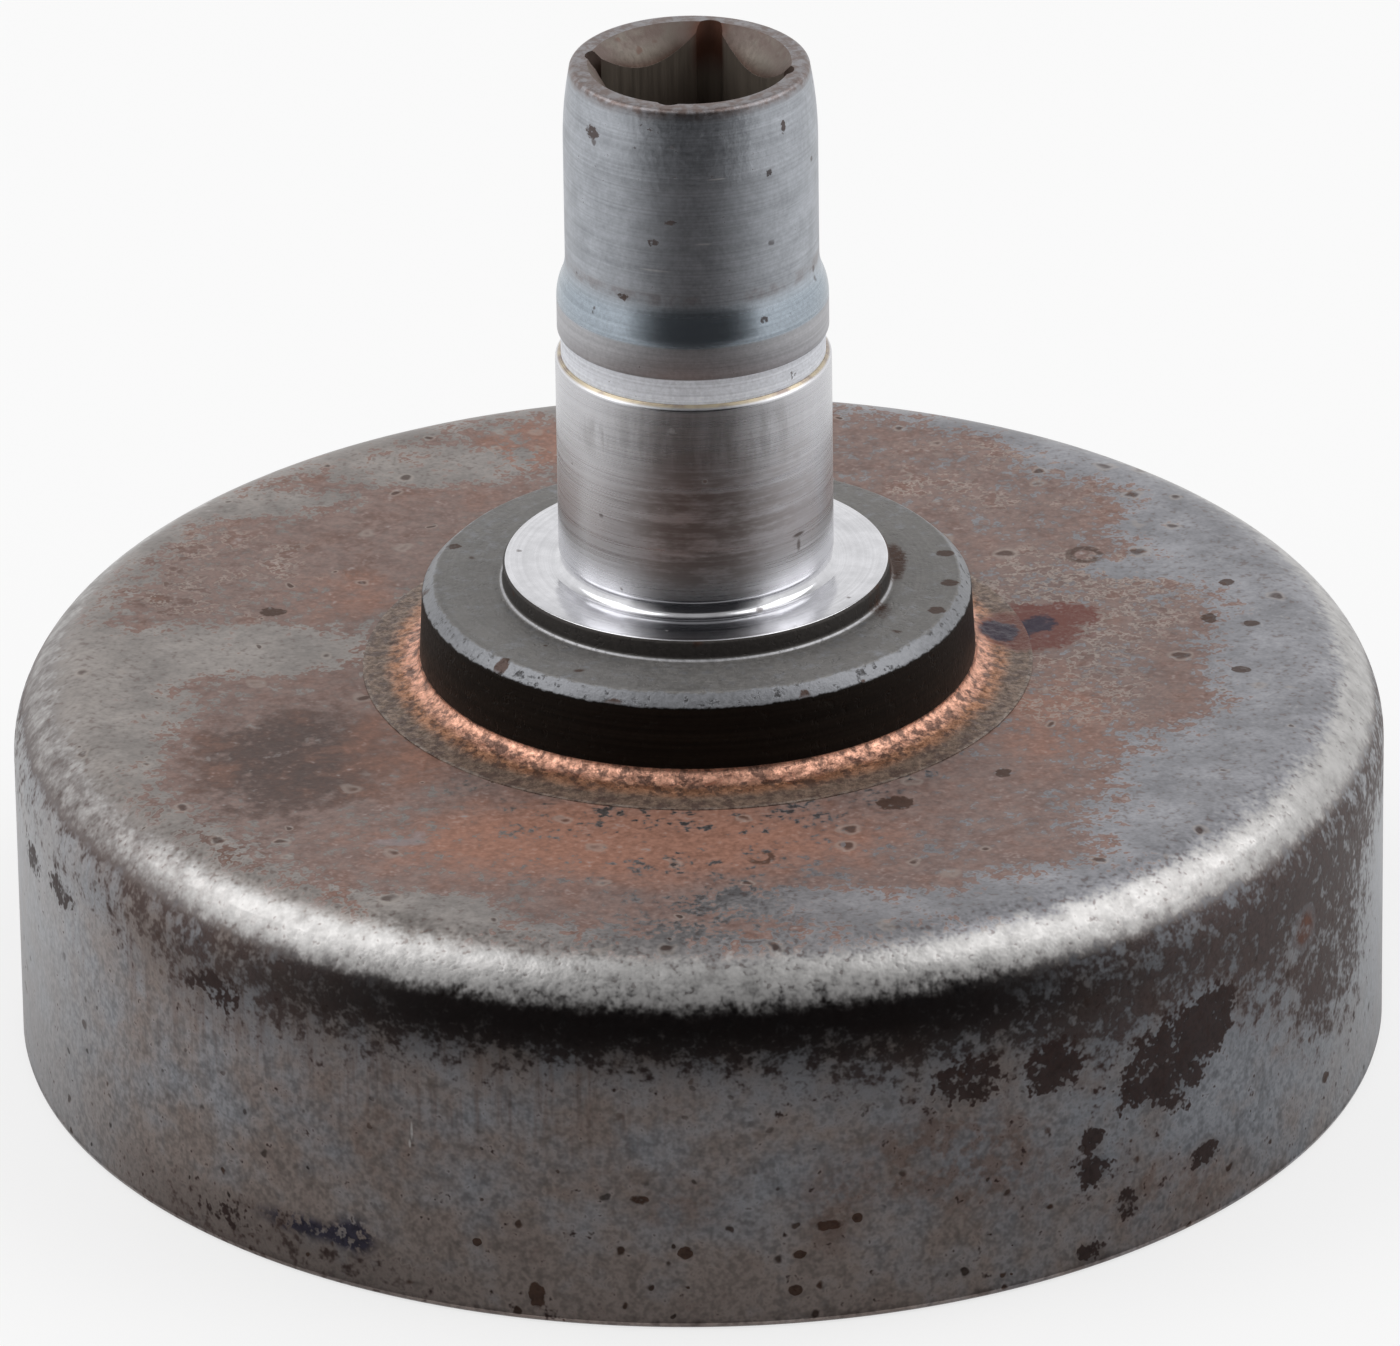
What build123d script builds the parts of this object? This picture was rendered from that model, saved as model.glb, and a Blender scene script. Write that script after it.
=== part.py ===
from build123d import *

import os
from math import sqrt, tan, radians

# Clutch drum of a small garden machine: a drawn steel cup, a turned hub brazed on its web.
# Millimetres. The drum axis is Z, the open rim stands on Z = 0 and the hub points up.

# Drawn cup
drum_outer_diameter = 60.0
drum_height = 17.0
sheet_thickness = 2.0
corner_outer_radius = 3.5
rim_edge_break = 0.3

# Braze joint between cup and hub
braze_gap = 0.05
braze_height = 0.75
braze_width = 2.5
braze_feather = 0.05
inner_braze_height = 0.35
inner_braze_width = 0.6

# Hub flange and the spigot that centres it in the web
spigot_diameter = 16.0
spigot_projection = 0.8
spigot_edge_chamfer = 0.3
flange_diameter = 24.0
flange_thickness = 4.05
flange_edge_chamfer = 0.55
flange_draft = 3.0

# Bearing collar, seat and retaining-ring groove
collar_diameter = 16.9
collar_height = 0.95
collar_edge_chamfer = 0.12
collar_foot_radius = 0.25
seat_diameter = 12.0
seat_length = 10.0
seat_edge_chamfer = 0.2
undercut_radius = 0.5
undercut_seat_depth = 0.2
undercut_seat_length = 0.75
undercut_face_depth = 0.08
undercut_face_width = 0.9
ring_groove_diameter = 11.5
ring_groove_width = 1.2
land_diameter = 11.8
land_length = 1.45

# Ogee, nose and domed tip
ogee_length = 1.95
nose_diameter = 11.0
nose_length = 5.45
tip_diameter = 10.4
tip_length = 3.5
tip_edge_radius = 0.25

# Square drive socket, broached right through
socket_across_flats = 6.5
socket_relief_diameter = 1.15
tip_land_width = 0.55
lead_in_depth = 1.35
exit_chamfer = 0.4
cutter_overrun = 1.0

# Radii that the driving sizes give
drum_radius = drum_outer_diameter / 2
bore_radius = drum_radius - sheet_thickness
corner_inner_radius = corner_outer_radius - sheet_thickness
spigot_radius = spigot_diameter / 2
web_hole_radius = spigot_radius + braze_gap
flange_radius = flange_diameter / 2
flange_side_height = flange_thickness - flange_edge_chamfer
draft_per_height = tan(radians(flange_draft))
flange_foot_radius = flange_radius + flange_side_height * draft_per_height
collar_radius = collar_diameter / 2
seat_radius = seat_diameter / 2
undercut_seat_radius = seat_radius - undercut_seat_depth
ring_groove_radius = ring_groove_diameter / 2
land_radius = land_diameter / 2
nose_radius = nose_diameter / 2
ogee_middle_radius = (land_radius + nose_radius) / 2
tip_radius = tip_diameter / 2
tip_land_radius = tip_radius - tip_edge_radius
lead_in_radius = tip_land_radius - tip_land_width
socket_half = socket_across_flats / 2

# Heights above the rim, from the web up to the tip
web_inner_z = drum_height - sheet_thickness
spigot_end_z = web_inner_z - spigot_projection
flange_seat_z = drum_height + braze_gap
flange_face_z = flange_seat_z + flange_thickness
shoulder_z = flange_face_z + collar_height
undercut_face_z = shoulder_z - undercut_face_depth
groove_z = shoulder_z + seat_length
land_z = groove_z + ring_groove_width
ogee_z = land_z + land_length
ogee_middle_z = ogee_z + ogee_length / 2
nose_z = ogee_z + ogee_length
tip_z = nose_z + nose_length
top_z = tip_z + tip_length


def revolved(outline):
    """Turn a closed outline, drawn as radius and height, about the drum axis."""
    return revolve(Plane.XZ * make_face(outline), axis=Axis.Z)


def make_drum_cup():
    """Cup of even sheet thickness: trimmed rim, straight wall, drawn corner, web with a centre hole."""
    outer_wall = Polyline(
        (bore_radius, rim_edge_break),
        (bore_radius + rim_edge_break, 0),
        (drum_radius - rim_edge_break, 0),
        (drum_radius, rim_edge_break),
        (drum_radius, drum_height - corner_outer_radius),
    )
    outer_corner = TangentArc(
        outer_wall @ 1,
        (drum_radius - corner_outer_radius, drum_height),
        tangent=(0, 1),
    )
    web = Polyline(
        outer_corner @ 1,
        (web_hole_radius, drum_height),
        (web_hole_radius, web_inner_z),
        (bore_radius - corner_inner_radius, web_inner_z),
    )
    inner_corner = TangentArc(
        web @ 1,
        (bore_radius, web_inner_z - corner_inner_radius),
        tangent=(1, 0),
    )
    inner_wall = Line(inner_corner @ 1, outer_wall @ 0)
    return revolved([outer_wall, outer_corner, web, inner_corner, inner_wall])


def make_hub_blank():
    """The hub as it comes off the lathe, before its socket is broached."""
    flange = Polyline(
        (0, spigot_end_z),
        (spigot_radius - spigot_edge_chamfer, spigot_end_z),
        (spigot_radius, spigot_end_z + spigot_edge_chamfer),
        (spigot_radius, flange_seat_z),
        (flange_foot_radius, flange_seat_z),
        (flange_radius, flange_seat_z + flange_side_height),
        (flange_radius - flange_edge_chamfer, flange_face_z),
        (collar_radius + collar_foot_radius, flange_face_z),
    )
    collar_foot = TangentArc(
        flange @ 1,
        (collar_radius, flange_face_z + collar_foot_radius),
        tangent=(-1, 0),
    )
    collar = Polyline(
        collar_foot @ 1,
        (collar_radius, shoulder_z - collar_edge_chamfer),
        (collar_radius - collar_edge_chamfer, shoulder_z),
        (seat_radius + undercut_face_width, shoulder_z),
        (undercut_seat_radius + undercut_radius, undercut_face_z),
    )
    undercut = TangentArc(
        collar @ 1,
        (undercut_seat_radius, undercut_face_z + undercut_radius),
        tangent=(-1, 0),
    )
    seat = Polyline(
        undercut @ 1,
        (seat_radius, shoulder_z + undercut_seat_length),
        (seat_radius, groove_z - seat_edge_chamfer),
        (seat_radius - seat_edge_chamfer, groove_z),
        (ring_groove_radius, groove_z),
        (ring_groove_radius, land_z),
        (land_radius, land_z),
        (land_radius, ogee_z),
    )
    ogee_crown = TangentArc(seat @ 1, (ogee_middle_radius, ogee_middle_z), tangent=(0, 1))
    ogee_hollow = TangentArc(ogee_crown @ 1, (nose_radius, nose_z), tangent=ogee_crown % 1)
    nose = Line(ogee_hollow @ 1, (nose_radius, tip_z))
    tip_dome = TangentArc(
        nose @ 1,
        (tip_radius, top_z - tip_edge_radius),
        tangent=(0, 1),
    )
    tip_edge = RadiusArc(tip_dome @ 1, (tip_land_radius, top_z), -tip_edge_radius)
    closing = Polyline(tip_edge @ 1, (0, top_z), flange @ 0)
    lower_outline = [flange, collar_foot, collar, undercut, seat]
    upper_outline = [ogee_crown, ogee_hollow, nose, tip_dome, tip_edge, closing]
    return revolved(lower_outline + upper_outline)


def make_socket_cutter():
    """Square broach with a round relief in each corner, a conical lead-in above and a break below."""
    relief_radius = socket_relief_diameter / 2
    corner_reach = socket_across_flats / sqrt(2)
    section = Rectangle(socket_across_flats, socket_across_flats)
    section += PolarLocations(corner_reach - relief_radius, 4, start_angle=45) * Circle(relief_radius)
    start_z = spigot_end_z - cutter_overrun
    broach = Pos(0, 0, start_z) * extrude(section, top_z + cutter_overrun - start_z)
    lead_in = Pos(0, 0, top_z - lead_in_depth) * Cone(
        socket_half, lead_in_radius, lead_in_depth, align=(Align.CENTER, Align.CENTER, Align.MIN)
    )
    exit_break = Pos(0, 0, spigot_end_z) * Cone(
        socket_half + exit_chamfer,
        socket_half,
        exit_chamfer,
        align=(Align.CENTER, Align.CENTER, Align.MIN),
    )
    return broach + lead_in + exit_break


def make_braze_ring():
    """Copper run through the joint: outer meniscus, film under flange and round spigot, inner fillet."""
    meniscus_z = drum_height + braze_height
    flange_side_radius = flange_foot_radius - (meniscus_z - flange_seat_z) * draft_per_height
    meniscus_start = flange_side_radius + braze_feather
    meniscus_end = flange_side_radius + braze_width
    inner_end_z = web_inner_z - inner_braze_height
    inner_reach = web_hole_radius + inner_braze_width

    flange_joint = Polyline(
        (spigot_radius, inner_end_z),
        (spigot_radius, flange_seat_z),
        (flange_foot_radius, flange_seat_z),
        (flange_side_radius, meniscus_z),
        (meniscus_start, meniscus_z),
    )
    meniscus = EllipticalCenterArc(
        (meniscus_end, meniscus_z),
        meniscus_end - meniscus_start,
        braze_height - braze_feather,
        start_angle=180,
        arc_size=90,
    )
    web_joint = Polyline(
        (meniscus_end, drum_height + braze_feather),
        (meniscus_end, drum_height),
        (web_hole_radius, drum_height),
        (web_hole_radius, web_inner_z),
        (inner_reach, web_inner_z),
        (inner_reach, web_inner_z - braze_feather),
    )
    inner_fillet = EllipticalCenterArc(
        (inner_reach, inner_end_z),
        inner_braze_width,
        inner_braze_height - braze_feather,
        start_angle=90,
        arc_size=90,
    )
    closing = Line((web_hole_radius, inner_end_z), (spigot_radius, inner_end_z))
    return revolved([flange_joint, meniscus, web_joint, inner_fillet, closing])


nodes = {
    "drum_cup": make_drum_cup(),
    "hub_shaft": make_hub_blank() - make_socket_cutter(),
    "braze_ring": make_braze_ring(),
}

os.makedirs("parts", exist_ok=True)
for name, shape in nodes.items():
    export_step(shape, f"parts/{name}.step")
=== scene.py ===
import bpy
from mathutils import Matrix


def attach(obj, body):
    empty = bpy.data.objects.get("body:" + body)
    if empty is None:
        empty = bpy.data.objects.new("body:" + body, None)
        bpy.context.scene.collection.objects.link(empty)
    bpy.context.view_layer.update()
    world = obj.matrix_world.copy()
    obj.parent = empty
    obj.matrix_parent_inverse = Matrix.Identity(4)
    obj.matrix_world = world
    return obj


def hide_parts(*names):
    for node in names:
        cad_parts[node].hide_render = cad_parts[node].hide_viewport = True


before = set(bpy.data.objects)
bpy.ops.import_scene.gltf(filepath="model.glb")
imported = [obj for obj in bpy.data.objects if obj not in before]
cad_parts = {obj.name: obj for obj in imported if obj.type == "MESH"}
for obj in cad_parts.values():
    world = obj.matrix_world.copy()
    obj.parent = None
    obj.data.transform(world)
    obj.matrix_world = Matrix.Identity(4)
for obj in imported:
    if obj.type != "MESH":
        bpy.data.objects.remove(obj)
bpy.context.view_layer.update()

from math import asin, cos, hypot, pi, radians, sin, sqrt, tan

import bpy
from bpy.props import FloatProperty, FloatVectorProperty, PointerProperty
from mathutils import Matrix, Quaternion, Vector

bl_info = {
    "name": "Clutch Drum",
    "version": (1, 0, 0),
    "blender": (4, 5, 0),
    "location": "3D View > Sidebar > Drum",
    "description": "Models a used clutch drum: drawn cup, brazed hub and copper fillet, with a photo stage",
    "category": "Object",
}

# Stains are placed in millimetres as seen from the front: X right, Y away, Z up.
STAIN_TURN = radians(32.5)

# Radii in millimetres of the surfaces that stains are unrolled on
WALL_RADIUS = 30.0
SEAT_RADIUS = 6.0
NOSE_RADIUS = 5.5

# Metres: how far the socket's cutters stand out, and what the pilot hole leaves for them
BROACH_OVERRUN = 0.001
CONE_OVERRUN = 0.0005
PILOT_WALL = 0.0006

# Metres: margins when the faces of the hub are told apart
HAIR = 0.00001
COLLAR_MARGIN = 0.0001

# Degrees to the right of the front where the painted floor shade and the card are darkest
DARKEST_TURN = 3

# Side lights, each with its place in metres to the right, away and up as seen from the front
SIDE_LIGHTS = (("LeftLight", (-0.42, 0.03, 0.56)), ("RightLight", (0.42, 0.05, 0.55)))


def length(name, description, millimetres):
    """A length property whose default is written in millimetres."""
    return FloatProperty(
        name=name, description=description, default=millimetres / 1000, min=0.0, precision=5, unit="LENGTH"
    )


def angle(name, description, degrees):
    """An angle property whose default is written in degrees."""
    return FloatProperty(name=name, description=description, default=radians(degrees), subtype="ANGLE")


def tint(name, description, red, green, blue):
    """A colour property."""
    return FloatVectorProperty(
        name=name, description=description, default=(red, green, blue), min=0.0, max=1.0, subtype="COLOR"
    )


def amount(name, description, default):
    """A plain number between nothing and a lot."""
    return FloatProperty(name=name, description=description, default=default, min=0.0)


class CupSizes(bpy.types.PropertyGroup):
    """Sizes of the drawn cup."""

    outer_diameter: length("Outer diameter", "Across the outside of the wall", 60)
    height: length("Height", "From the open rim to the top of the web", 17)
    sheet: length("Sheet thickness", "Thickness of the drawn sheet", 2)
    corner_radius: length("Corner radius", "Outer radius of the drawn corner", 3.5)
    rim_break: length("Rim break", "Broken edge round the open rim", 0.3)
    hole_diameter: length("Hole diameter", "Centre hole in the web", 16.1)


class HubSizes(bpy.types.PropertyGroup):
    """Sizes of the turned hub."""

    spigot_diameter: length("Spigot diameter", "Spigot in the hole of the web", 16)
    spigot_end: length("Spigot end", "Height of the spigot's lower end above the rim", 14.2)
    spigot_chamfer: length("Spigot chamfer", "Chamfer at the spigot's lower end", 0.3)
    flange_diameter: length("Flange diameter", "Flange at the lower edge of its chamfer", 24)
    flange_seat: length("Flange seat", "Height of the flange's underside above the rim", 17.05)
    flange_thickness: length("Flange thickness", "Height of the flange", 4.05)
    flange_chamfer: length("Flange chamfer", "Chamfer round the flange's upper edge", 0.55)
    flange_draft: angle("Flange draft", "Slope of the flange's side", 3)
    collar_diameter: length("Collar diameter", "Collar that the bearing rests on", 16.9)
    collar_height: length("Collar height", "Collar above the flange", 0.95)
    collar_foot: length("Collar foot", "Radius at the foot of the collar", 0.25)
    collar_chamfer: length("Collar chamfer", "Chamfer round the collar's upper edge", 0.12)
    seat_diameter: length("Seat diameter", "Ground bearing seat", 12)
    seat_length: length("Seat length", "From the collar to the ring groove", 10)
    seat_chamfer: length("Seat chamfer", "Chamfer at the seat's upper edge", 0.2)
    undercut_radius: length("Undercut radius", "Hollow between the seat and the collar", 0.5)
    undercut_depth: length("Undercut depth", "Undercut below the seat", 0.2)
    undercut_length: length("Undercut length", "Undercut up the seat from the collar", 0.75)
    undercut_fall: length("Undercut fall", "Undercut below the collar's face", 0.08)
    undercut_width: length("Undercut width", "Undercut along the collar's face from the seat", 0.9)
    groove_diameter: length("Groove diameter", "Floor of the ring groove", 11.5)
    groove_width: length("Groove width", "Width of the ring groove", 1.2)
    land_diameter: length("Land diameter", "Land above the groove", 11.8)
    land_length: length("Land length", "Height of the land", 1.45)
    ogee_length: length("Ogee length", "Curved step from the land to the nose", 1.95)
    nose_diameter: length("Nose diameter", "Straight part of the nose", 11)
    nose_length: length("Nose length", "Height of the straight part", 5.45)
    tip_diameter: length("Tip diameter", "Domed tip just below its edge", 10.4)
    tip_length: length("Tip length", "Height of the domed tip", 3.5)
    tip_rounding: length("Tip rounding", "Radius of the tip's edge", 0.25)
    socket_flats: length("Socket across flats", "Square drive socket", 6.5)
    socket_relief: length("Socket relief", "Round relief in each corner of the socket", 1.15)
    lead_in_diameter: length("Lead-in diameter", "Mouth of the conical lead-in", 8.8)
    lead_in_depth: length("Lead-in depth", "Depth of the conical lead-in", 1.35)
    exit_chamfer: length("Exit chamfer", "Broken edge at the socket's lower end", 0.4)
    flange_softening: length("Flange softening", "Rounding of the edges of the flange's chamfer", 0.09)
    collar_softening: length("Collar softening", "Rounding of the edges of the collar's chamfer", 0.04)
    seat_softening: length("Seat softening", "Rounding of the lower edge of the seat's chamfer", 0.06)
    land_softening: length("Land softening", "Rounding of the land's lower edge", 0.05)


class BrazeSizes(bpy.types.PropertyGroup):
    """Sizes of the copper braze."""

    height: length("Height", "Meniscus above the web", 0.75)
    width: length("Width", "Meniscus out from the flange", 2.5)
    feather: length("Feather", "Thickness at the thin edges", 0.05)
    inner_height: length("Inner height", "Fillet inside the cup", 0.35)
    inner_width: length("Inner width", "Reach of the fillet inside the cup", 0.6)
    lumps: length("Lumps", "How uneven the run copper is", 0.1)
    run_size: length("Run size", "Width of the larger lumps", 0.7)
    bead_size: length("Bead size", "Width of the smaller lumps", 0.28)
    calm_edge: length("Calm edge", "Strip next to the flange where the lumps fade", 0.3)


class DrumFinish(bpy.types.PropertyGroup):
    """Colours of the metals, films and rust, and of the painted reflections, sheen and shade."""

    web_cool: tint("Cool web steel", "Bare web on the right", 0.27, 0.27, 0.29)
    web_warm: tint("Warm web steel", "Bare web on the left", 0.27, 0.245, 0.23)
    film_brown: tint("Brown film", "Furnace film on the web", 0.192, 0.127, 0.111)
    film_light: tint("Light film", "Paler parts of the film", 0.24, 0.172, 0.152)
    film_dark: tint("Dark film", "Purple-brown parts of the film", 0.088, 0.058, 0.051)
    film_orange: tint("Orange film", "Film near the braze at the front", 0.345, 0.17, 0.117)
    film_lace: tint("Film lace", "Pale veins where the film is broken", 0.4, 0.35, 0.315)
    corner_steel: tint("Corner steel", "Rubbed steel on the drawn corner", 0.465, 0.455, 0.448)
    wall_cool: tint("Cool wall steel", "Wall on the right", 0.275, 0.285, 0.31)
    wall_warm: tint("Warm wall steel", "Wall on the left and low down", 0.285, 0.24, 0.22)
    scale: tint("Mill scale", "Dark scale round the top of the wall", 0.03, 0.023, 0.021)
    # Painted dark reflection: near-black just under the corner across the front, where the steel shows the
    # dark side of the room
    painted_dark_reflection: tint("Painted dark reflection", "Near-black painted reflection just under the corner at the front", 0.008, 0.006, 0.006)
    # Painted sheen: paler steel on the wall's flanks, standing in for the brighter reflection there
    painted_side_sheen: tint("Painted side sheen", "Painted paler sheen on the flanks of the wall", 0.43, 0.44, 0.46)
    blotch: tint("Scale blotch", "Brown-black patches on the wall", 0.042, 0.027, 0.025)
    rust: tint("Rust", "Rust in the specks", 0.06, 0.03, 0.02)
    rust_bright: tint("Fresh rust", "Brighter rust", 0.14, 0.058, 0.036)
    ink: tint("Heat ink", "Blue-black heat stain", 0.03, 0.028, 0.05)
    heat_red: tint("Heat red", "Red halo of the heat stain", 0.15, 0.04, 0.03)
    copper: tint("Copper", "Bright copper next to the flange", 0.78, 0.42, 0.3)
    gilt: tint("Gilt", "Golden brown middle of the braze", 0.46, 0.235, 0.14)
    olive: tint("Olive", "Greyish outer part of the braze", 0.24, 0.17, 0.13)
    flange_side: tint("Flange side", "Blackened side of the flange", 0.01, 0.007, 0.005)
    flange_face: tint("Flange face", "Matt top of the flange", 0.2, 0.193, 0.186)
    flange_edge: tint("Flange edge", "Rubbed chamfer of the flange", 0.23, 0.235, 0.25)
    # Collar side darkened partly as painted shade under the collar's edge and at its foot
    collar_side_and_shade: tint("Collar side", "Dark side of the collar", 0.05, 0.045, 0.042)
    ground: tint("Ground steel", "Bearing seat and collar", 0.66, 0.66, 0.685)
    # Partly real smudges, partly painted dark reflection across the front of the seat
    smudge_and_reflection: tint("Smudge and dark reflection", "Brown smudges on the seat, with painted dark reflection at the front", 0.22, 0.172, 0.148)
    nose: tint("Nose steel", "Turned nose", 0.42, 0.44, 0.475)
    # Groove floor: turned steel, lightened further as a painted highlight
    groove: tint("Groove steel", "Floor of the ring groove, lightened as a painted highlight", 0.83, 0.85, 0.9)
    blued: tint("Blued steel", "Glossy ogee", 0.36, 0.41, 0.46)
    land: tint("Land steel", "Matt land above the groove", 0.49, 0.49, 0.51)
    socket: tint("Socket steel", "Broached socket", 0.23, 0.195, 0.16)
    lead_in: tint("Lead-in steel", "Cone in the mouth of the socket", 0.26, 0.24, 0.205)
    bore: tint("Bore steel", "Rubbed friction track in the cup", 0.36, 0.35, 0.34)
    haze: tint("Wall haze", "Brown clouds on the wall", 0.165, 0.118, 0.102)
    grime: tint("Grime", "Grey smears at the top of the seat", 0.17, 0.155, 0.14)
    gold: tint("Heat gold", "Straw-coloured edge of the seat", 0.5, 0.41, 0.26)
    fleck: tint("Fleck", "Small bright scratches and flecks", 0.8, 0.79, 0.78)
    soot: tint("Lining dust", "Dust left by the shoes", 0.07, 0.058, 0.05)


class StageSizes(bpy.types.PropertyGroup):
    """Camera, floor and lights."""

    camera_azimuth: angle("Camera azimuth", "Direction that the camera stands in", -32.5)
    camera_elevation: angle("Camera elevation", "Height of the camera above the horizon", 26.0276)
    camera_distance: length("Camera distance", "From the aim point to the camera", 692.64)
    camera_roll: angle("Camera roll", "Lean of the camera", -0.797)
    aim_side: length("Aim side", "Aim point to the right of the axis", 0.09)
    aim_height: length("Aim height", "Aim point above the floor", 16.41)
    focal_length: amount("Focal length", "Lens in millimetres on a 36 mm film", 407.05)
    floor_size: length("Floor size", "Side of the square floor", 4000)
    floor_tint: tint("Floor", "Pale floor", 0.93, 0.93, 0.93)
    floor_white: amount("Floor white", "Share of plain white in the floor, the rest keeps the shadow", 0.7)
    fill: amount("Fill", "Light from the surroundings on matt surfaces", 0.5)
    side_light: amount("Side lights", "Power of each side light in watts", 1.5)
    ceiling: amount("Ceiling", "How bright the room shows overhead in the steel", 0.42)
    # Dark card: painted shade seen only in the steel, standing in for the unlit room on the camera's side
    card_tint: tint("Dark card", "Leaning card in front of the drum, seen in the steel", 0.02, 0.02, 0.022)
    # Painted shade seen only in the steel: the darker floor in front of the drum
    floor_shade_tint: tint("Floor shade sheet", "Painted shade of the floor in front, seen in the steel", 0.13, 0.125, 0.125)
    floor_shade_radius: length("Floor shade radius", "Round sheet of painted floor shade about the drum", 100)
    sheet_lift: length("Sheet lift", "Floor shade sheet and card above the floor", 0.3)
    card_foot_half: length("Card foot half width", "Half the card's width at the floor", 140)
    card_foot_away: length("Card foot distance", "Foot of the card in front of the axis", 100)
    card_top_half: length("Card top half width", "Half the card's width at its top", 340)
    card_top_away: length("Card top distance", "Top of the card in front of the axis", 235)
    card_top_height: length("Card height", "Top of the card above the floor", 330)
    light_width: length("Light width", "Width of each side light", 500)
    light_length: length("Light length", "Length of each side light", 560)
    light_aim: length("Light aim", "Height on the axis that the side lights point at", 15)


# Modelling helpers


def clear_selection():
    """Leave edit mode and select nothing."""
    if bpy.context.object and bpy.context.object.mode != "OBJECT":
        bpy.ops.object.mode_set(mode="OBJECT")
    bpy.ops.object.select_all(action="DESELECT")


def select_only(piece):
    """Make one piece the active and only selected one."""
    clear_selection()
    bpy.context.view_layer.objects.active = piece
    piece.select_set(True)


def pick_vertices(piece, places):
    """Select the vertices nearest to the given places, in edit mode."""
    bpy.ops.object.mode_set(mode="EDIT")
    bpy.ops.mesh.select_mode(type="VERT")
    bpy.ops.mesh.select_all(action="DESELECT")
    bpy.ops.object.mode_set(mode="OBJECT")
    for place in places:
        nearest = min(piece.data.vertices, key=lambda vertex: (vertex.co - Vector(place)).length)
        nearest.select = True
    bpy.ops.object.mode_set(mode="EDIT")


def bend(start, end, heading, steps):
    """Points of the round arc that leaves start along heading and ends at end, without start itself."""
    start, end, heading = Vector(start), Vector(end), Vector(heading).normalized()
    chord = end - start
    side = Vector((-heading.y, heading.x))
    turn = 1.0
    if side.dot(chord) < 0:
        side, turn = -side, -1.0
    radius = chord.length_squared / (2 * chord.dot(side))
    centre = start + side * radius
    sweep = 2 * asin(min(1.0, chord.length / (2 * radius)))
    spoke = start - centre
    points = []
    for step in range(1, steps + 1):
        points.append(tuple(centre + Matrix.Rotation(turn * sweep * step / steps, 2) @ spoke))
    return points


def quarter_turn(steps):
    """Angles of a quarter turn in even steps, from nothing up."""
    return [pi / 2 * step / steps for step in range(steps + 1)]


def draw_outline(name, corners, breaks=()):
    """Draw a closed outline of radius and height corners, then round the corners named in breaks."""
    clear_selection()
    bpy.ops.mesh.primitive_circle_add(vertices=3, radius=0.001)
    piece = bpy.context.active_object
    piece.name = name
    piece.data.name = name
    bpy.ops.object.mode_set(mode="EDIT")
    bpy.ops.mesh.select_mode(type="VERT")
    bpy.ops.mesh.select_all(action="SELECT")
    bpy.ops.mesh.merge(type="CENTER")
    bpy.ops.transform.translate(value=(corners[0][0], 0, corners[0][1]))
    for here, there in zip(corners, corners[1:]):
        step = (there[0] - here[0], 0, there[1] - here[1])
        bpy.ops.mesh.extrude_region_move(TRANSFORM_OT_translate={"value": step})
    ends = [(corners[0][0], 0, corners[0][1]), (corners[-1][0], 0, corners[-1][1])]
    pick_vertices(piece, ends)
    bpy.ops.mesh.edge_face_add()
    for (radius, height), size, steps in breaks:
        pick_vertices(piece, [(radius, 0, height)])
        bpy.ops.mesh.bevel(offset=size, segments=steps, affect="VERTICES", clamp_overlap=True)
    return piece


def turn_outline(piece, steps):
    """Turn the outline about the drum axis and close it."""
    bpy.ops.object.mode_set(mode="EDIT")
    bpy.ops.mesh.select_all(action="SELECT")
    bpy.ops.mesh.spin(steps=steps, angle=2 * pi, center=(0, 0, 0), axis=(0, 0, 1), use_auto_merge=True)
    bpy.ops.mesh.select_all(action="SELECT")
    bpy.ops.mesh.remove_doubles(threshold=1e-7)
    bpy.ops.mesh.normals_make_consistent(inside=False)
    bpy.ops.object.mode_set(mode="OBJECT")
    if not piece.data.polygons:
        raise RuntimeError(piece.name + " has no faces after turning")


def cut_away(piece, tool):
    """Take the tool's shape out of the piece."""
    select_only(piece)
    cutter = piece.modifiers.new("Cut", "BOOLEAN")
    cutter.operation = "DIFFERENCE"
    cutter.solver = "EXACT"
    cutter.object = tool
    bpy.ops.object.modifier_apply(modifier=cutter.name)
    clear_selection()
    tool.select_set(True)
    bpy.ops.object.delete()


def smooth_faces(piece, degrees):
    """Shade smooth up to an angle, with the flats kept flat."""
    select_only(piece)
    bpy.ops.object.shade_smooth_by_angle(angle=radians(degrees))
    flats = piece.modifiers.new("Flats", "WEIGHTED_NORMAL")
    flats.keep_sharp = True
    flats.weight = 100
    bpy.ops.object.modifier_apply(modifier=flats.name)


def everywhere(radius, height, normal):
    """The test that chooses every face."""
    return True


def coat_faces(piece, material, chosen):
    """Give the faces that the test chooses a material of their own."""
    select_only(piece)
    bpy.ops.object.material_slot_add()
    slot = len(piece.material_slots) - 1
    piece.material_slots[slot].material = material
    piece.active_material_index = slot
    bpy.ops.object.mode_set(mode="EDIT")
    bpy.ops.mesh.select_mode(type="FACE")
    bpy.ops.mesh.select_all(action="DESELECT")
    bpy.ops.object.mode_set(mode="OBJECT")
    for face in piece.data.polygons:
        centre = face.center
        face.select = chosen(hypot(centre.x, centre.y), centre.z, face.normal)
    bpy.ops.object.mode_set(mode="EDIT")
    bpy.ops.object.material_slot_assign()
    bpy.ops.object.mode_set(mode="OBJECT")


def hand_over(piece, node):
    """Let a finished piece stand for its CAD node."""
    clear_selection()
    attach(piece, "root")
    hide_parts(node)


# Shader helpers


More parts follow.
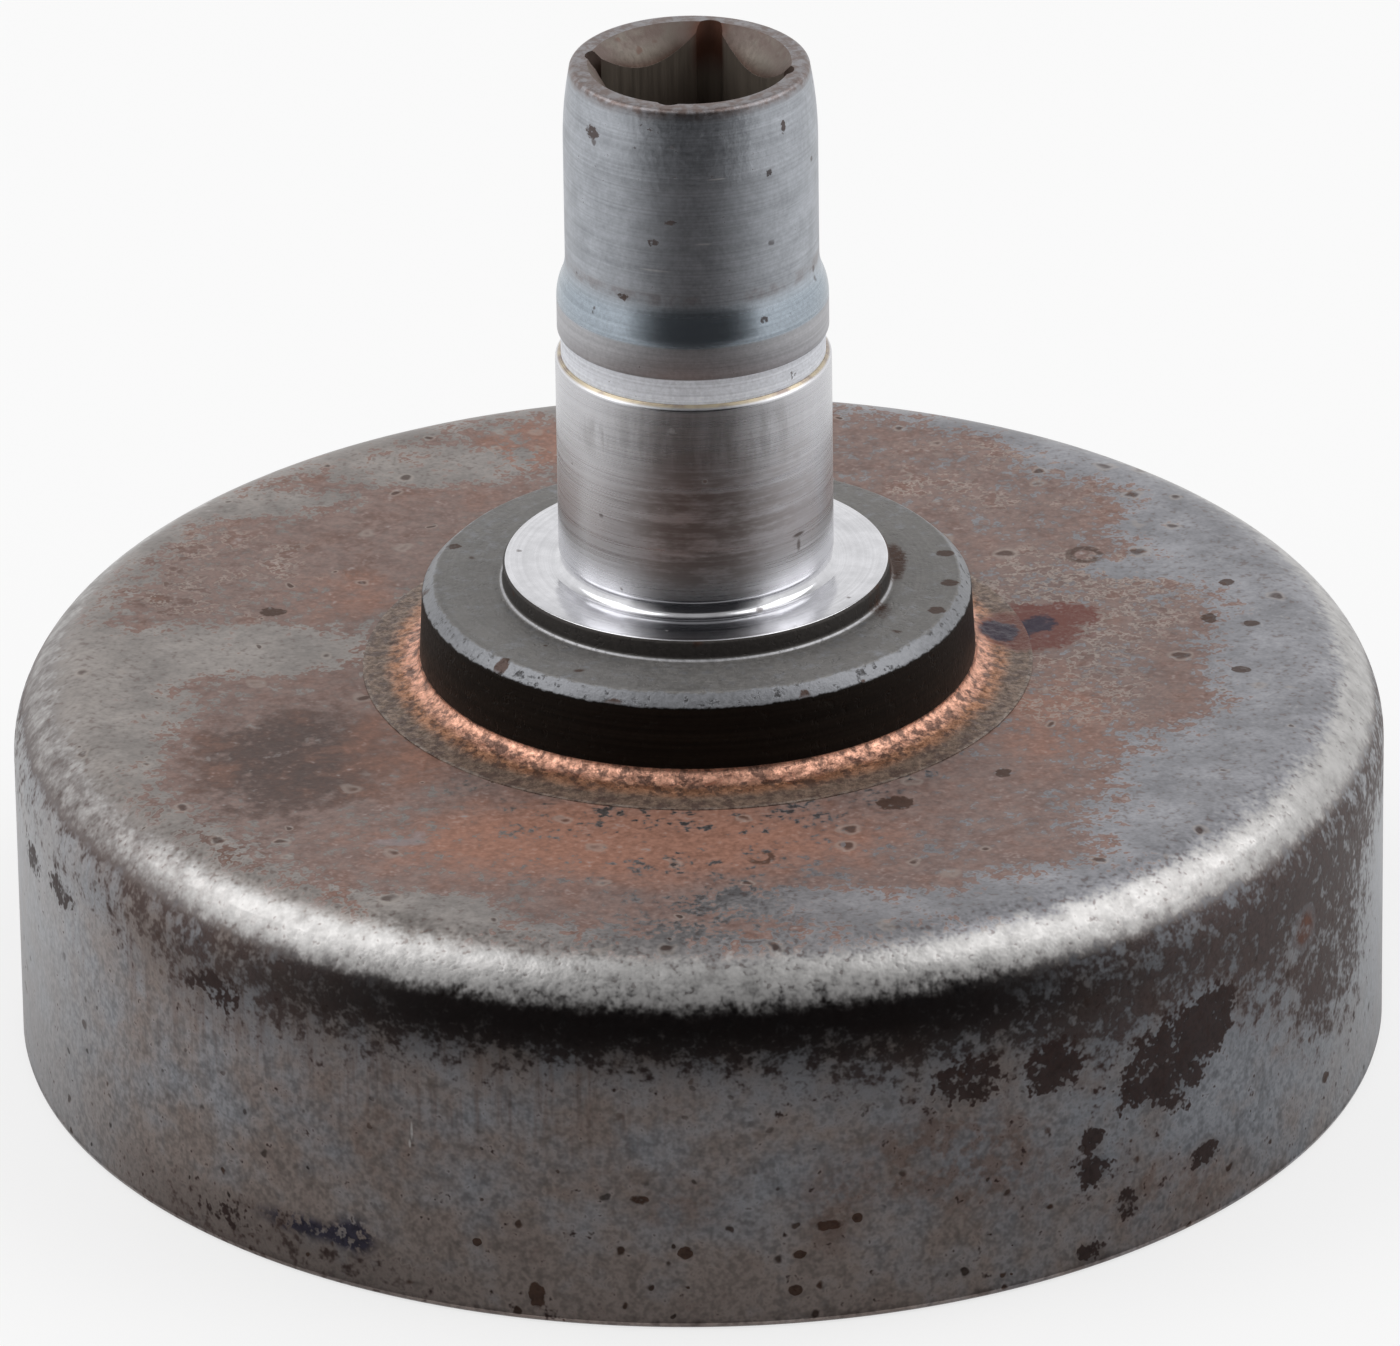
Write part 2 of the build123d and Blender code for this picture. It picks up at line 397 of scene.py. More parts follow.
class Graph:
    """Places shader nodes in a tree and joins them up."""

    def __init__(self, tree):
        self.tree = tree

    def join(self, value, socket):
        """Link a socket or write a plain value into it."""
        if isinstance(value, bpy.types.NodeSocket):
            self.tree.links.new(value, socket)
        elif isinstance(value, (int, float)):
            socket.default_value = value
        else:
            value = tuple(value)
            if socket.type == "RGBA" and len(value) == 3:
                value = (*value, 1.0)
            socket.default_value = value

    def node(self, kind, settings=None, **inputs):
        """Place a node; inputs are socket names with underscores for spaces."""
        made = self.tree.nodes.new(kind)
        for name, value in (settings or {}).items():
            setattr(made, name, value)
        self.fill(made, **inputs)
        return made

    def fill(self, made, **inputs):
        """Join values to a node's sockets, named with underscores for spaces."""
        for name, value in inputs.items():
            self.join(value, made.inputs[name.replace("_", " ")])

    def group(self, name, **inputs):
        """Place a shared effect."""
        return self.node("ShaderNodeGroup", {"node_tree": bpy.data.node_groups[name]}, **inputs)

    def math(self, operation, first, second=0.0, clamp=False):
        """One sum on plain values."""
        made = self.node("ShaderNodeMath", {"operation": operation, "use_clamp": clamp})
        self.join(first, made.inputs[0])
        self.join(second, made.inputs[1])
        return made.outputs[0]

    def plus(self, first, second, clamp=False):
        """Two plain values added."""
        return self.math("ADD", first, second, clamp)

    def minus(self, first, second, clamp=False):
        """One plain value less another."""
        return self.math("SUBTRACT", first, second, clamp)

    def times(self, first, second, clamp=False):
        """Two plain values multiplied."""
        return self.math("MULTIPLY", first, second, clamp)

    def most(self, first, second, clamp=False):
        """The larger of two plain values."""
        return self.math("MAXIMUM", first, second, clamp)

    def vector(self, operation, first, second=(0, 0, 0)):
        """One sum on vectors."""
        made = self.node("ShaderNodeVectorMath", {"operation": operation})
        self.join(first, made.inputs[0])
        self.join(second, made.inputs[1])
        return made.outputs["Value" if operation in ("LENGTH", "DISTANCE", "DOT_PRODUCT") else "Vector"]

    def rise(self, value, low, high, bottom=0.0, top=1.0):
        """A smooth step from bottom at low to top at high."""
        return self.node(
            "ShaderNodeMapRange",
            {"interpolation_type": "SMOOTHSTEP"},
            Value=value, From_Min=low, From_Max=high, To_Min=bottom, To_Max=top,
        ).outputs["Result"]

    def band(self, value, low, high, blur):
        """One between low and high, nothing outside."""
        inside = self.rise(value, low - blur, low + blur)
        return self.times(inside, self.rise(value, high - blur, high + blur, 1.0, 0.0))

    def mix(self, factor, first, second, blend="MIX"):
        """Two colours mixed."""
        made = self.node("ShaderNodeMix", {"data_type": "RGBA", "blend_type": blend})
        self.join(factor, made.inputs[0])
        self.join(first, made.inputs[6])
        self.join(second, made.inputs[7])
        return made.outputs[2]

    def blend(self, factor, first, second):
        """Two plain values mixed."""
        made = self.node("ShaderNodeMix", {"data_type": "FLOAT"})
        self.join(factor, made.inputs[0])
        self.join(first, made.inputs[2])
        self.join(second, made.inputs[3])
        return made.outputs[0]

    def noise(self, vector, scale, detail=3.0, rough=0.55):
        """Cloudy noise between nothing and one."""
        made = self.node("ShaderNodeTexNoise", None, Vector=vector, Scale=scale, Detail=detail)
        made.inputs["Roughness"].default_value = rough
        return made.outputs["Fac"]

    def shade(self, colour, value, low, high):
        """A colour made darker and lighter by a value between nothing and one."""
        grey = self.rise(value, 0.25, 0.75, low, high)
        return self.mix(1.0, colour, grey, "MULTIPLY")

    def cover(self, colour, mask, share, over):
        """A colour laid over another by a share of a mask."""
        return self.mix(self.times(mask, share), colour, over)

    def ragged(self, field, coarse, fine, coarse_spread, fine_spread, edge):
        """A stain with an uneven border, cut out of a field."""
        return self.group(
            "Ragged mask", Field=field, Coarse=coarse, Fine=fine,
            Coarse_Spread=coarse_spread, Fine_Spread=fine_spread, Edge=edge,
        ).outputs["Mask"]

    def marks(self, vector, along, pitch):
        """Fine lines round the axis, so many to the millimetre."""
        return self.group("Turning marks", Vector=vector, Along=along, Pitch=pitch).outputs["Value"]

    def specks(self, vector, spacing, share, size):
        """Scattered round specks, with a pale ring and a tone for each."""
        return self.group("Specks", Vector=vector, Spacing=spacing, Share=share, Size=size).outputs

    def ring(self, vector, centre, radius, width, uneven):
        """One uneven ring."""
        return self.group(
            "Ring mark", Vector=vector, Centre=centre, Radius=radius, Width=width, Uneven=uneven
        ).outputs["Mask"]

    def veins(self, value, level, width):
        """Thin lines where a value passes a level."""
        return self.group("Veins", Value=value, Level=level, Width=width).outputs["Mask"]


def new_effect(name, inputs, outputs):
    """Start a shared effect with named inputs and outputs."""
    tree = bpy.data.node_groups.new(name, "ShaderNodeTree")
    for socket, kind, default in inputs:
        made = tree.interface.new_socket(socket, in_out="INPUT", socket_type="NodeSocket" + kind)
        made.default_value = default
    for socket, kind in outputs:
        tree.interface.new_socket(socket, in_out="OUTPUT", socket_type="NodeSocket" + kind)
    graph = Graph(tree)
    return graph, graph.node("NodeGroupInput").outputs, graph.node("NodeGroupOutput").inputs


def make_effects():
    """Build the effects that the materials share."""
    g, given, out = new_effect(
        "Stain zone",
        [("Field", "Float", 0.0), ("Vector", "Vector", (0, 0, 0)), ("Shrink", "Vector", (1, 1, 1)),
         ("Shift", "Vector", (0, 0, 0)), ("Weight", "Float", 1.0)],
        [("Field", "Float")],
    )
    offset = g.node("ShaderNodeVectorMath", {"operation": "MULTIPLY_ADD"})
    g.join(given["Vector"], offset.inputs[0])
    g.join(given["Shrink"], offset.inputs[1])
    g.join(given["Shift"], offset.inputs[2])
    near = g.rise(g.vector("LENGTH", offset.outputs[0]), 0.4, 1.4, given["Weight"], 0.0)
    g.join(g.plus(given["Field"], near), out["Field"])

    g, given, out = new_effect(
        "Ragged mask",
        [("Field", "Float", 0.0), ("Coarse", "Float", 0.5), ("Fine", "Float", 0.5),
         ("Coarse Spread", "Float", 0.8), ("Fine Spread", "Float", 0.5), ("Edge", "Float", 0.08)],
        [("Mask", "Float")],
    )
    coarse = g.times(g.minus(given["Coarse"], 0.5), given["Coarse Spread"])
    fine = g.times(g.minus(given["Fine"], 0.5), given["Fine Spread"])
    field = g.plus(given["Field"], g.plus(coarse, fine))
    low = g.minus(0.5, given["Edge"])
    high = g.plus(0.5, given["Edge"])
    g.join(g.rise(field, low, high), out["Mask"])

    g, given, out = new_effect(
        "Specks",
        [("Vector", "Vector", (0, 0, 0)), ("Spacing", "Float", 1.0), ("Share", "Float", 0.3),
         ("Size", "Float", 0.3)],
        [("Mask", "Float"), ("Ring", "Float"), ("Tone", "Float")],
    )
    cells = g.vector("DIVIDE", given["Vector"], g.node("ShaderNodeCombineXYZ", None, X=given["Spacing"],
                     Y=given["Spacing"], Z=given["Spacing"]).outputs[0])
    warp = g.node("ShaderNodeTexNoise", None, Vector=cells, Scale=2.6, Detail=0.0).outputs["Color"]
    cells = g.vector("ADD", cells, g.vector("MULTIPLY", g.vector("SUBTRACT", warp, (0.5, 0.5, 0.5)),
                     (0.3, 0.3, 0.3)))
    spots = g.node("ShaderNodeTexVoronoi", None, Vector=cells, Scale=1.0)
    luck = g.node("ShaderNodeSeparateColor", None, Color=spots.outputs["Color"])
    kept = g.math("LESS_THAN", luck.outputs["Red"], given["Share"])
    uneven = g.times(luck.outputs["Green"], luck.outputs["Green"])
    spread = g.times(given["Size"], g.plus(0.35, uneven))
    inner = g.times(spread, 0.5)
    spot = g.rise(spots.outputs["Distance"], inner, spread, 1.0, 0.0)
    g.join(g.times(spot, kept), out["Mask"])
    round_it = g.rise(spots.outputs["Distance"], spread, g.times(spread, 1.5), 1.0, 0.0)
    g.join(g.times(g.minus(round_it, spot), kept), out["Ring"])
    g.join(luck.outputs["Blue"], out["Tone"])

    g, given, out = new_effect(
        "Veins",
        [("Value", "Float", 0.5), ("Level", "Float", 0.5), ("Width", "Float", 0.03)],
        [("Mask", "Float")],
    )
    away = g.math("ABSOLUTE", g.minus(given["Value"], given["Level"]))
    g.join(g.rise(away, g.times(given["Width"], 0.3), given["Width"], 1.0, 0.0), out["Mask"])

    g, given, out = new_effect(
        "Turning marks",
        [("Vector", "Vector", (0, 0, 0)), ("Along", "Float", 0.0), ("Pitch", "Float", 8.0)],
        [("Value", "Float")],
    )
    round_way = g.node("ShaderNodeSeparateXYZ", None, Vector=given["Vector"])
    lines = g.node(
        "ShaderNodeCombineXYZ", None,
        X=g.times(round_way.outputs["X"], 0.06),
        Y=g.times(round_way.outputs["Y"], 0.06),
        Z=g.times(given["Along"], given["Pitch"]),
    ).outputs[0]
    g.join(g.noise(lines, 1.0, 3.0, 0.65), out["Value"])

    g, given, out = new_effect(
        "Ring mark",
        [("Vector", "Vector", (0, 0, 0)), ("Centre", "Vector", (0, 0, 0)), ("Radius", "Float", 0.7),
         ("Width", "Float", 0.15), ("Uneven", "Float", 0.5)],
        [("Mask", "Float")],
    )
    offset = g.vector("SUBTRACT", given["Vector"], given["Centre"])
    wobble = g.times(g.minus(given["Uneven"], 0.5), given["Radius"])
    away = g.math("ABSOLUTE", g.minus(g.plus(g.vector("LENGTH", offset), wobble), given["Radius"]))
    g.join(g.rise(away, g.times(given["Width"], 0.4), given["Width"], 1.0, 0.0), out["Mask"])


def start_material(name):
    """A new material with its shader, and the drum position in millimetres."""
    material = bpy.data.materials.new(name)
    material.use_nodes = True
    material.node_tree.nodes.clear()
    g = Graph(material.node_tree)
    shader = g.node("ShaderNodeBsdfPrincipled")
    g.join(shader.outputs[0], g.node("ShaderNodeOutputMaterial").inputs["Surface"])
    place = g.node("ShaderNodeTexCoord").outputs["Object"]
    position = g.node(
        "ShaderNodeMapping", None, Vector=place, Rotation=(0, 0, STAIN_TURN), Scale=(1000, 1000, 1000)
    ).outputs["Vector"]
    return material, g, shader, position


def split_position(g, position):
    """The place without its height, and the height."""
    parts = g.node("ShaderNodeSeparateXYZ", None, Vector=position).outputs
    return g.node("ShaderNodeCombineXYZ", None, X=parts["X"], Y=parts["Y"]).outputs[0], parts["Z"]


def find_turn(g, position):
    """The angle from the front towards the right."""
    parts = g.node("ShaderNodeSeparateXYZ", None, Vector=position).outputs
    return g.math("ARCTAN2", parts["X"], g.times(parts["Y"], -1.0))


def unroll(g, turn, height, radius):
    """A round surface laid flat: the way round from the front, and the height."""
    return g.node("ShaderNodeCombineXYZ", None, X=g.times(turn, radius), Y=height).outputs[0]


def add_zones(g, field, vector, zones):
    """Add stain zones, each a centre, a reach and a weight, to a field."""
    for (across, along), (wide, long), weight in zones:
        field = g.group(
            "Stain zone", Field=field, Vector=vector, Shrink=(1 / wide, 1 / long, 0.0),
            Shift=(-across / wide, -along / long, 0.0), Weight=weight,
        ).outputs["Field"]
    return field


def add_bump(g, shader, depth, first, *others):
    """One bump on the surface normal: a value, then further values with their share of the depth."""
    height = first
    for value, share in others:
        height = g.plus(height, g.times(value, share))
    bump = g.node("ShaderNodeBump", None, Height=height, Distance=depth / 1000)
    bump.inputs["Strength"].default_value = 1.0
    g.join(bump.outputs["Normal"], shader.inputs["Normal"])


# Brown film on the web: where it is missing or thin, and where it is thick
FILM_ZONES = [
    ((-21.0, 1.6), (7.2, 2.7), -1.25),
    ((-25.5, -4.5), (3.4, 6.0), -1.0),
    ((-11.5, 20.2), (5.2, 2.2), -0.95),
    ((-18.5, 16.4), (3.6, 1.7), -0.75),
    ((-14.5, 12.5), (4.4, 4.4), 0.4),
    ((24.8, 13.0), (6.2, 7.4), -1.3),
    ((18.0, 21.0), (3.6, 3.4), -0.8),
    ((19.4, 8.7), (2.4, 0.9), -0.75),
    ((26.5, -1.0), (4.2, 9.5), -1.3),
    ((24.0, -12.5), (6.4, 6.4), -1.35),
    ((18.5, -17.0), (2.8, 2.6), -0.6),
    ((-11.3, -24.0), (2.8, 1.9), -1.1),
    ((5.0, -23.6), (6.0, 1.6), -1.05),
    ((15.0, -22.5), (4.0, 2.4), -0.6),
    ((-16.5, -9.0), (4.5, 5.5), 0.3),
]

# Dark purple-brown parts of the film
DARK_ZONES = [
    ((-16.8, -8.9), (5.4, 5.2), 1.15),
    ((-14.5, 12.5), (4.2, 4.6), 0.3),
    ((-23.5, 8.5), (2.6, 5.0), 0.4),
    ((-20.5, -16.0), (4.5, 4.0), 0.55),
]

# Orange tone in the film
ORANGE_ZONES = [
    ((-3.0, -17.3), (11.0, 4.2), 0.95),
    ((-13.0, -8.0), (2.8, 5.0), 0.45),
    ((15.2, -6.0), (3.4, 5.0), 0.5),
    ((-15.5, 7.0), (3.5, 2.4), 0.35),
    ((-7.5, 22.5), (2.2, 2.6), 0.5),
]

# Pale veins and flakes in the film
LACE_ZONES = [
    ((16.5, 5.5), (5.5, 5.5), 0.7),
    ((16.5, -3.0), (3.8, 5.0), 0.5),
    ((13.0, 18.0), (6.0, 6.0), 0.3),
    ((-21.0, 9.0), (5.0, 6.0), 0.35),
]

# Dark red spots on the web
WEB_SPOTS = [
    ((8.4, -14.2), (0.95, 0.7), 1.0),
    ((13.1, -11.4), (0.4, 0.45), 1.0),
    ((-18.7, 5.5), (0.65, 0.5), 0.8),
    ((24.3, 3.0), (0.4, 0.34), 1.0),
    ((23.7, -1.6), (0.45, 0.38), 1.0),
    ((22.5, 3.6), (0.38, 0.55), 0.9),
    ((23.4, 7.2), (0.36, 0.36), 0.9),
]

# Scale on the wall, placed by the way round from the front and the height
SCALE_ZONES = [
    ((12.0, 11.2), (8.0, 2.6), 0.42),
    ((23.0, 10.8), (7.5, 3.4), 0.56),
    ((33.0, 10.2), (7.0, 4.8), 0.66),
    ((35.0, 7.4), (5.0, 4.2), 0.56),
    ((18.5, 6.0), (4.0, 3.0), 0.3),
    ((-20.0, 12.0), (7.0, 2.2), 0.24),
    ((-37.0, 13.2), (9.0, 2.8), -0.4),
    # The band across the front under the corner is partly real scale and partly painted dark reflection
    ((-3.0, 14.2), (17.0, 1.4), 0.4),
    ((70.0, 11.5), (26.0, 4.6), 0.6),
    ((-72.0, 12.5), (20.0, 3.4), 0.3),
    ((-21.0, 0.8), (9.0, 2.0), 0.5),
]

# Brown-black patches on the wall
BLOTCH_ZONES = [
    ((21.6, 8.5), (3.1, 2.4), 1.17),
    ((24.4, 9.9), (1.8, 1.7), 1.07),
    ((15.6, 10.2), (1.6, 1.4), 1.17),
    ((11.4, 10.6), (2.0, 1.4), 1.0),
    ((17.6, 4.8), (1.0, 0.9), 1.17),
    ((17.5, 6.3), (0.7, 0.6), 1.12),
    ((24.0, 3.4), (1.0, 0.7), 1.07),
    ((17.4, 0.8), (1.0, 0.6), 0.97),
    ((19.4, 2.6), (0.9, 0.8), 0.87),
    ((-22.8, 12.2), (1.9, 1.0), 0.97),
    ((-35.3, 12.0), (1.7, 0.8), 1.02),
    ((-39.4, 11.7), (1.4, 0.9), 0.97),
    ((-22.5, 1.6), (2.4, 0.7), 0.72),
]

# Brown clouds on the wall
HAZE_ZONES = [
    ((-1.0, 5.9), (2.2, 1.2), 0.7),
    ((5.4, 5.6), (1.6, 2.2), 0.8),
    ((14.0, 4.8), (3.0, 2.2), 0.55),
    ((22.0, 2.4), (4.5, 2.0), 0.55),
    ((-16.0, 8.5), (5.0, 3.0), 0.35),
    ((10.5, 7.2), (4.2, 2.4), 1.1),
    ((34.0, 8.0), (6.0, 4.0), 0.5),
]

# Round rust dots on the wall
WALL_DOTS = [
    ((-0.85, 3.7), (0.36, 0.34), 1.0),
    ((6.5, 4.9), (0.26, 0.26), 1.0),
    ((5.2, 4.7), (0.75, 0.3), 0.7),
    ((4.0, 3.4), (0.34, 0.24), 0.9),
    ((3.8, 1.7), (0.34, 0.3), 1.0),
    ((-2.8, 6.2), (0.5, 0.26), 0.8),
    ((-9.9, 3.5), (0.24, 0.22), 1.0),
    ((-7.3, 1.3), (0.4, 0.7), 0.9),
    ((33.5, 2.9), (0.4, 0.3), 0.9),
]

# Blue-black scribble low on the wall, and a bright scratch
SCRIBBLE_ZONES = [((-18.2, 2.4), (2.6, 0.55), 1.0), ((-15.7, 2.6), (1.1, 0.9), 1.1)]
WALL_SCRATCHES = [((-12.8, 8.3), (0.06, 0.4), 1.0), ((-12.9, 7.7), (0.06, 0.2), 0.8)]

# Rust spots on the flange's face and chamfer
FLANGE_SPOTS = [
    ((10.9, 2.0), (0.42, 0.36), 1.0),
    ((11.0, -1.0), (0.42, 0.4), 1.0),
    ((10.4, -3.7), (0.38, 0.36), 0.9),
    ((-3.8, -11.5), (0.5, 0.34), 0.9),
    ((-8.5, -8.1), (0.4, 0.34), 0.9),
    ((4.6, -11.0), (0.3, 0.26), 0.8),
    ((-10.6, 3.4), (0.4, 0.34), 0.7),
]

# Spots on the nose and tip, placed by the way round from the front and the height
NOSE_SPOTS = [
    ((-4.9, 43.9), (0.5, 0.34), 1.30),
    ((4.55, 44.1), (0.2, 0.36), 1.20),
    ((-0.9, 40.5), (0.4, 0.12), 1.30),
    ((-1.7, 39.5), (0.3, 0.2), 1.00),
    ((3.1, 35.6), (0.22, 0.16), 1.20),
    ((-3.2, 36.7), (0.34, 0.18), 1.05),
    ((3.6, 42.2), (0.16, 0.4), 0.90),
]


def make_cup_clouds(g, position):
    """Coarse, middling and fine clouds and the relief, the same on the web and the wall."""
    kinds = ((0.36, 3.0, 0.62), (1.1, 3.0, 0.68), (3.2, 1.0, 0.7), (1.6, 2.0, 0.7))
    return [g.noise(position, *kind) for kind in kinds]


def make_rubbed_corner(g, height, turn, tone, patch, grain):
    """Colour and roughness of the drawn corner, the same on the web's and the wall's side."""
    left = g.times(g.rise(turn, -0.6, -1.1), g.rise(turn, -2.5, -1.7))
    field = g.minus(g.rise(height, 14.2, 15.9, 0.0, 0.95), g.times(left, 0.45))
    rub = g.ragged(field, patch, grain, 0.9, 0.6, 0.55)
    # Unrubbed corner darker across the front: painted dark reflection, as in the wall's band below
    front = g.rise(g.math("ABSOLUTE", turn), 0.8, 0.35)
    colour = g.mix(rub, g.mix(front, tone.film_dark, tone.scale), tone.corner_steel)
    pepper = g.rise(grain, 0.37, 0.25, 0.0, 0.35)
    colour = g.mix(pepper, colour, tone.film_dark)
    return g.shade(colour, patch, 0.85, 1.12), g.blend(rub, 0.45, 0.33)


def make_cup_web(tone):
    """Drawn steel with a brown furnace film, rust spots and heat stains on the web."""
    material, g, shader, position = start_material("Drum cup web")
    flat, height = split_position(g, position)
    radius = g.vector("LENGTH", flat)
    turn = find_turn(g, position)
    coarse, patch, grain, relief = make_cup_clouds(g, position)
    side = g.rise(g.node("ShaderNodeSeparateXYZ", None, Vector=position).outputs["X"], -14, 16)
    bare = g.shade(g.mix(side, tone.web_warm, tone.web_cool), coarse, 0.82, 1.3)

    field = add_zones(g, g.rise(radius, 27.4, 24.5, 0.25, 0.95), flat, FILM_ZONES)
    field = g.plus(field, g.rise(grain, 0.25, 0.75, -0.42, 0.42))
    film = g.ragged(field, coarse, patch, 1.6, 2.2, 0.16)
    dark = g.ragged(add_zones(g, -0.2, flat, DARK_ZONES), coarse, patch, 3.0, 2.0, 0.4)
    orange = g.ragged(add_zones(g, 0.0, flat, ORANGE_ZONES), coarse, patch, 1.6, 1.0, 0.65)
    veins = g.veins(patch, 0.53, 0.05)
    lace_field = add_zones(g, 0.0, flat, LACE_ZONES)
    lace = g.times(veins, g.rise(g.plus(lace_field, g.rise(coarse, 0.3, 0.7, -0.2, 0.2)), 0.15, 0.5))
    brown = g.mix(g.rise(patch, 0.3, 0.7), tone.film_light, tone.film_brown)
    brown = g.mix(dark, brown, tone.film_dark)
    brown = g.mix(orange, brown, tone.film_orange)
    brown = g.cover(brown, lace, 0.6, tone.film_lace)
    bare = g.mix(g.rise(grain, 0.4, 0.28, 0.0, 0.45), bare, tone.film_brown)
    colour = g.cover(bare, film, 0.95, brown)
    colour = g.shade(colour, grain, 0.82, 1.18)

    specks = g.specks(position, 1.5, 0.34, 0.24)
    colour = g.cover(colour, specks["Ring"], 0.4, tone.film_lace)
    colour = g.cover(colour, specks["Mask"], 0.8, g.mix(specks["Tone"], tone.rust, tone.film_dark))
    spot_field = add_zones(g, 0.0, flat, WEB_SPOTS)
    spot = g.ragged(spot_field, patch, grain, 1.2, 0.9, 0.12)
    colour = g.cover(colour, spot, 0.88, tone.rust)
    halo = add_zones(g, -0.4, flat, [((14.4, 2.6), (2.9, 2.7), 1.5), ((16.4, 4.4), (2.0, 1.2), 1.0)])
    halo = g.ragged(halo, patch, grain, 2.6, 1.2, 0.3)
    colour = g.cover(colour, halo, 0.8, tone.heat_red)
    ink = add_zones(g, -0.3, flat, [((13.4, 2.4), (1.3, 1.4), 1.5), ((15.1, 3.3), (0.9, 1.0), 1.2)])
    ink = g.ragged(ink, patch, grain, 1.2, 0.9, 0.25)
    colour = g.cover(colour, ink, 0.9, tone.ink)
    pit = g.ring(flat, (17.2, 10.2, 0), 0.72, 0.24, patch)
    hook = g.ring(flat, (2.6, -19.25, 0), 0.5, 0.22, patch)
    broken = g.rise(patch, 0.4, 0.56, 0.15, 0.75)
    colour = g.cover(colour, g.most(pit, hook), broken, tone.rust)
    scuff = add_zones(g, -0.3, flat, [((-12.9, -17.3), (1.5, 0.42), 1.2), ((-12.0, -16.6), (0.5, 0.5), 0.9),
                                      ((6.1, -18.1), (0.12, 0.3), 1.7)])
    scuff = g.ragged(scuff, patch, grain, 1.6, 1.4, 0.45)
    colour = g.cover(colour, scuff, 0.5, tone.web_cool)

    edge_field = g.rise(height, 17.02, 16.2)
    on_corner = g.ragged(edge_field, patch, grain, 1.0, 1.0, 0.4)
    rubbed, polish = make_rubbed_corner(g, height, turn, tone, patch, grain)
    colour = g.mix(on_corner, colour, rubbed)
    rough = g.blend(on_corner, g.blend(film, 0.4, 0.5), polish)
    rough = g.plus(rough, g.rise(grain, 0.3, 0.7, -0.05, 0.07))
    metal = g.blend(g.minus(film, on_corner, True), 0.88, 0.3)
    g.fill(shader, Base_Color=colour, Roughness=rough, Metallic=metal, Specular_IOR_Level=0.15)
    add_bump(g, shader, 0.03, relief)
    return material


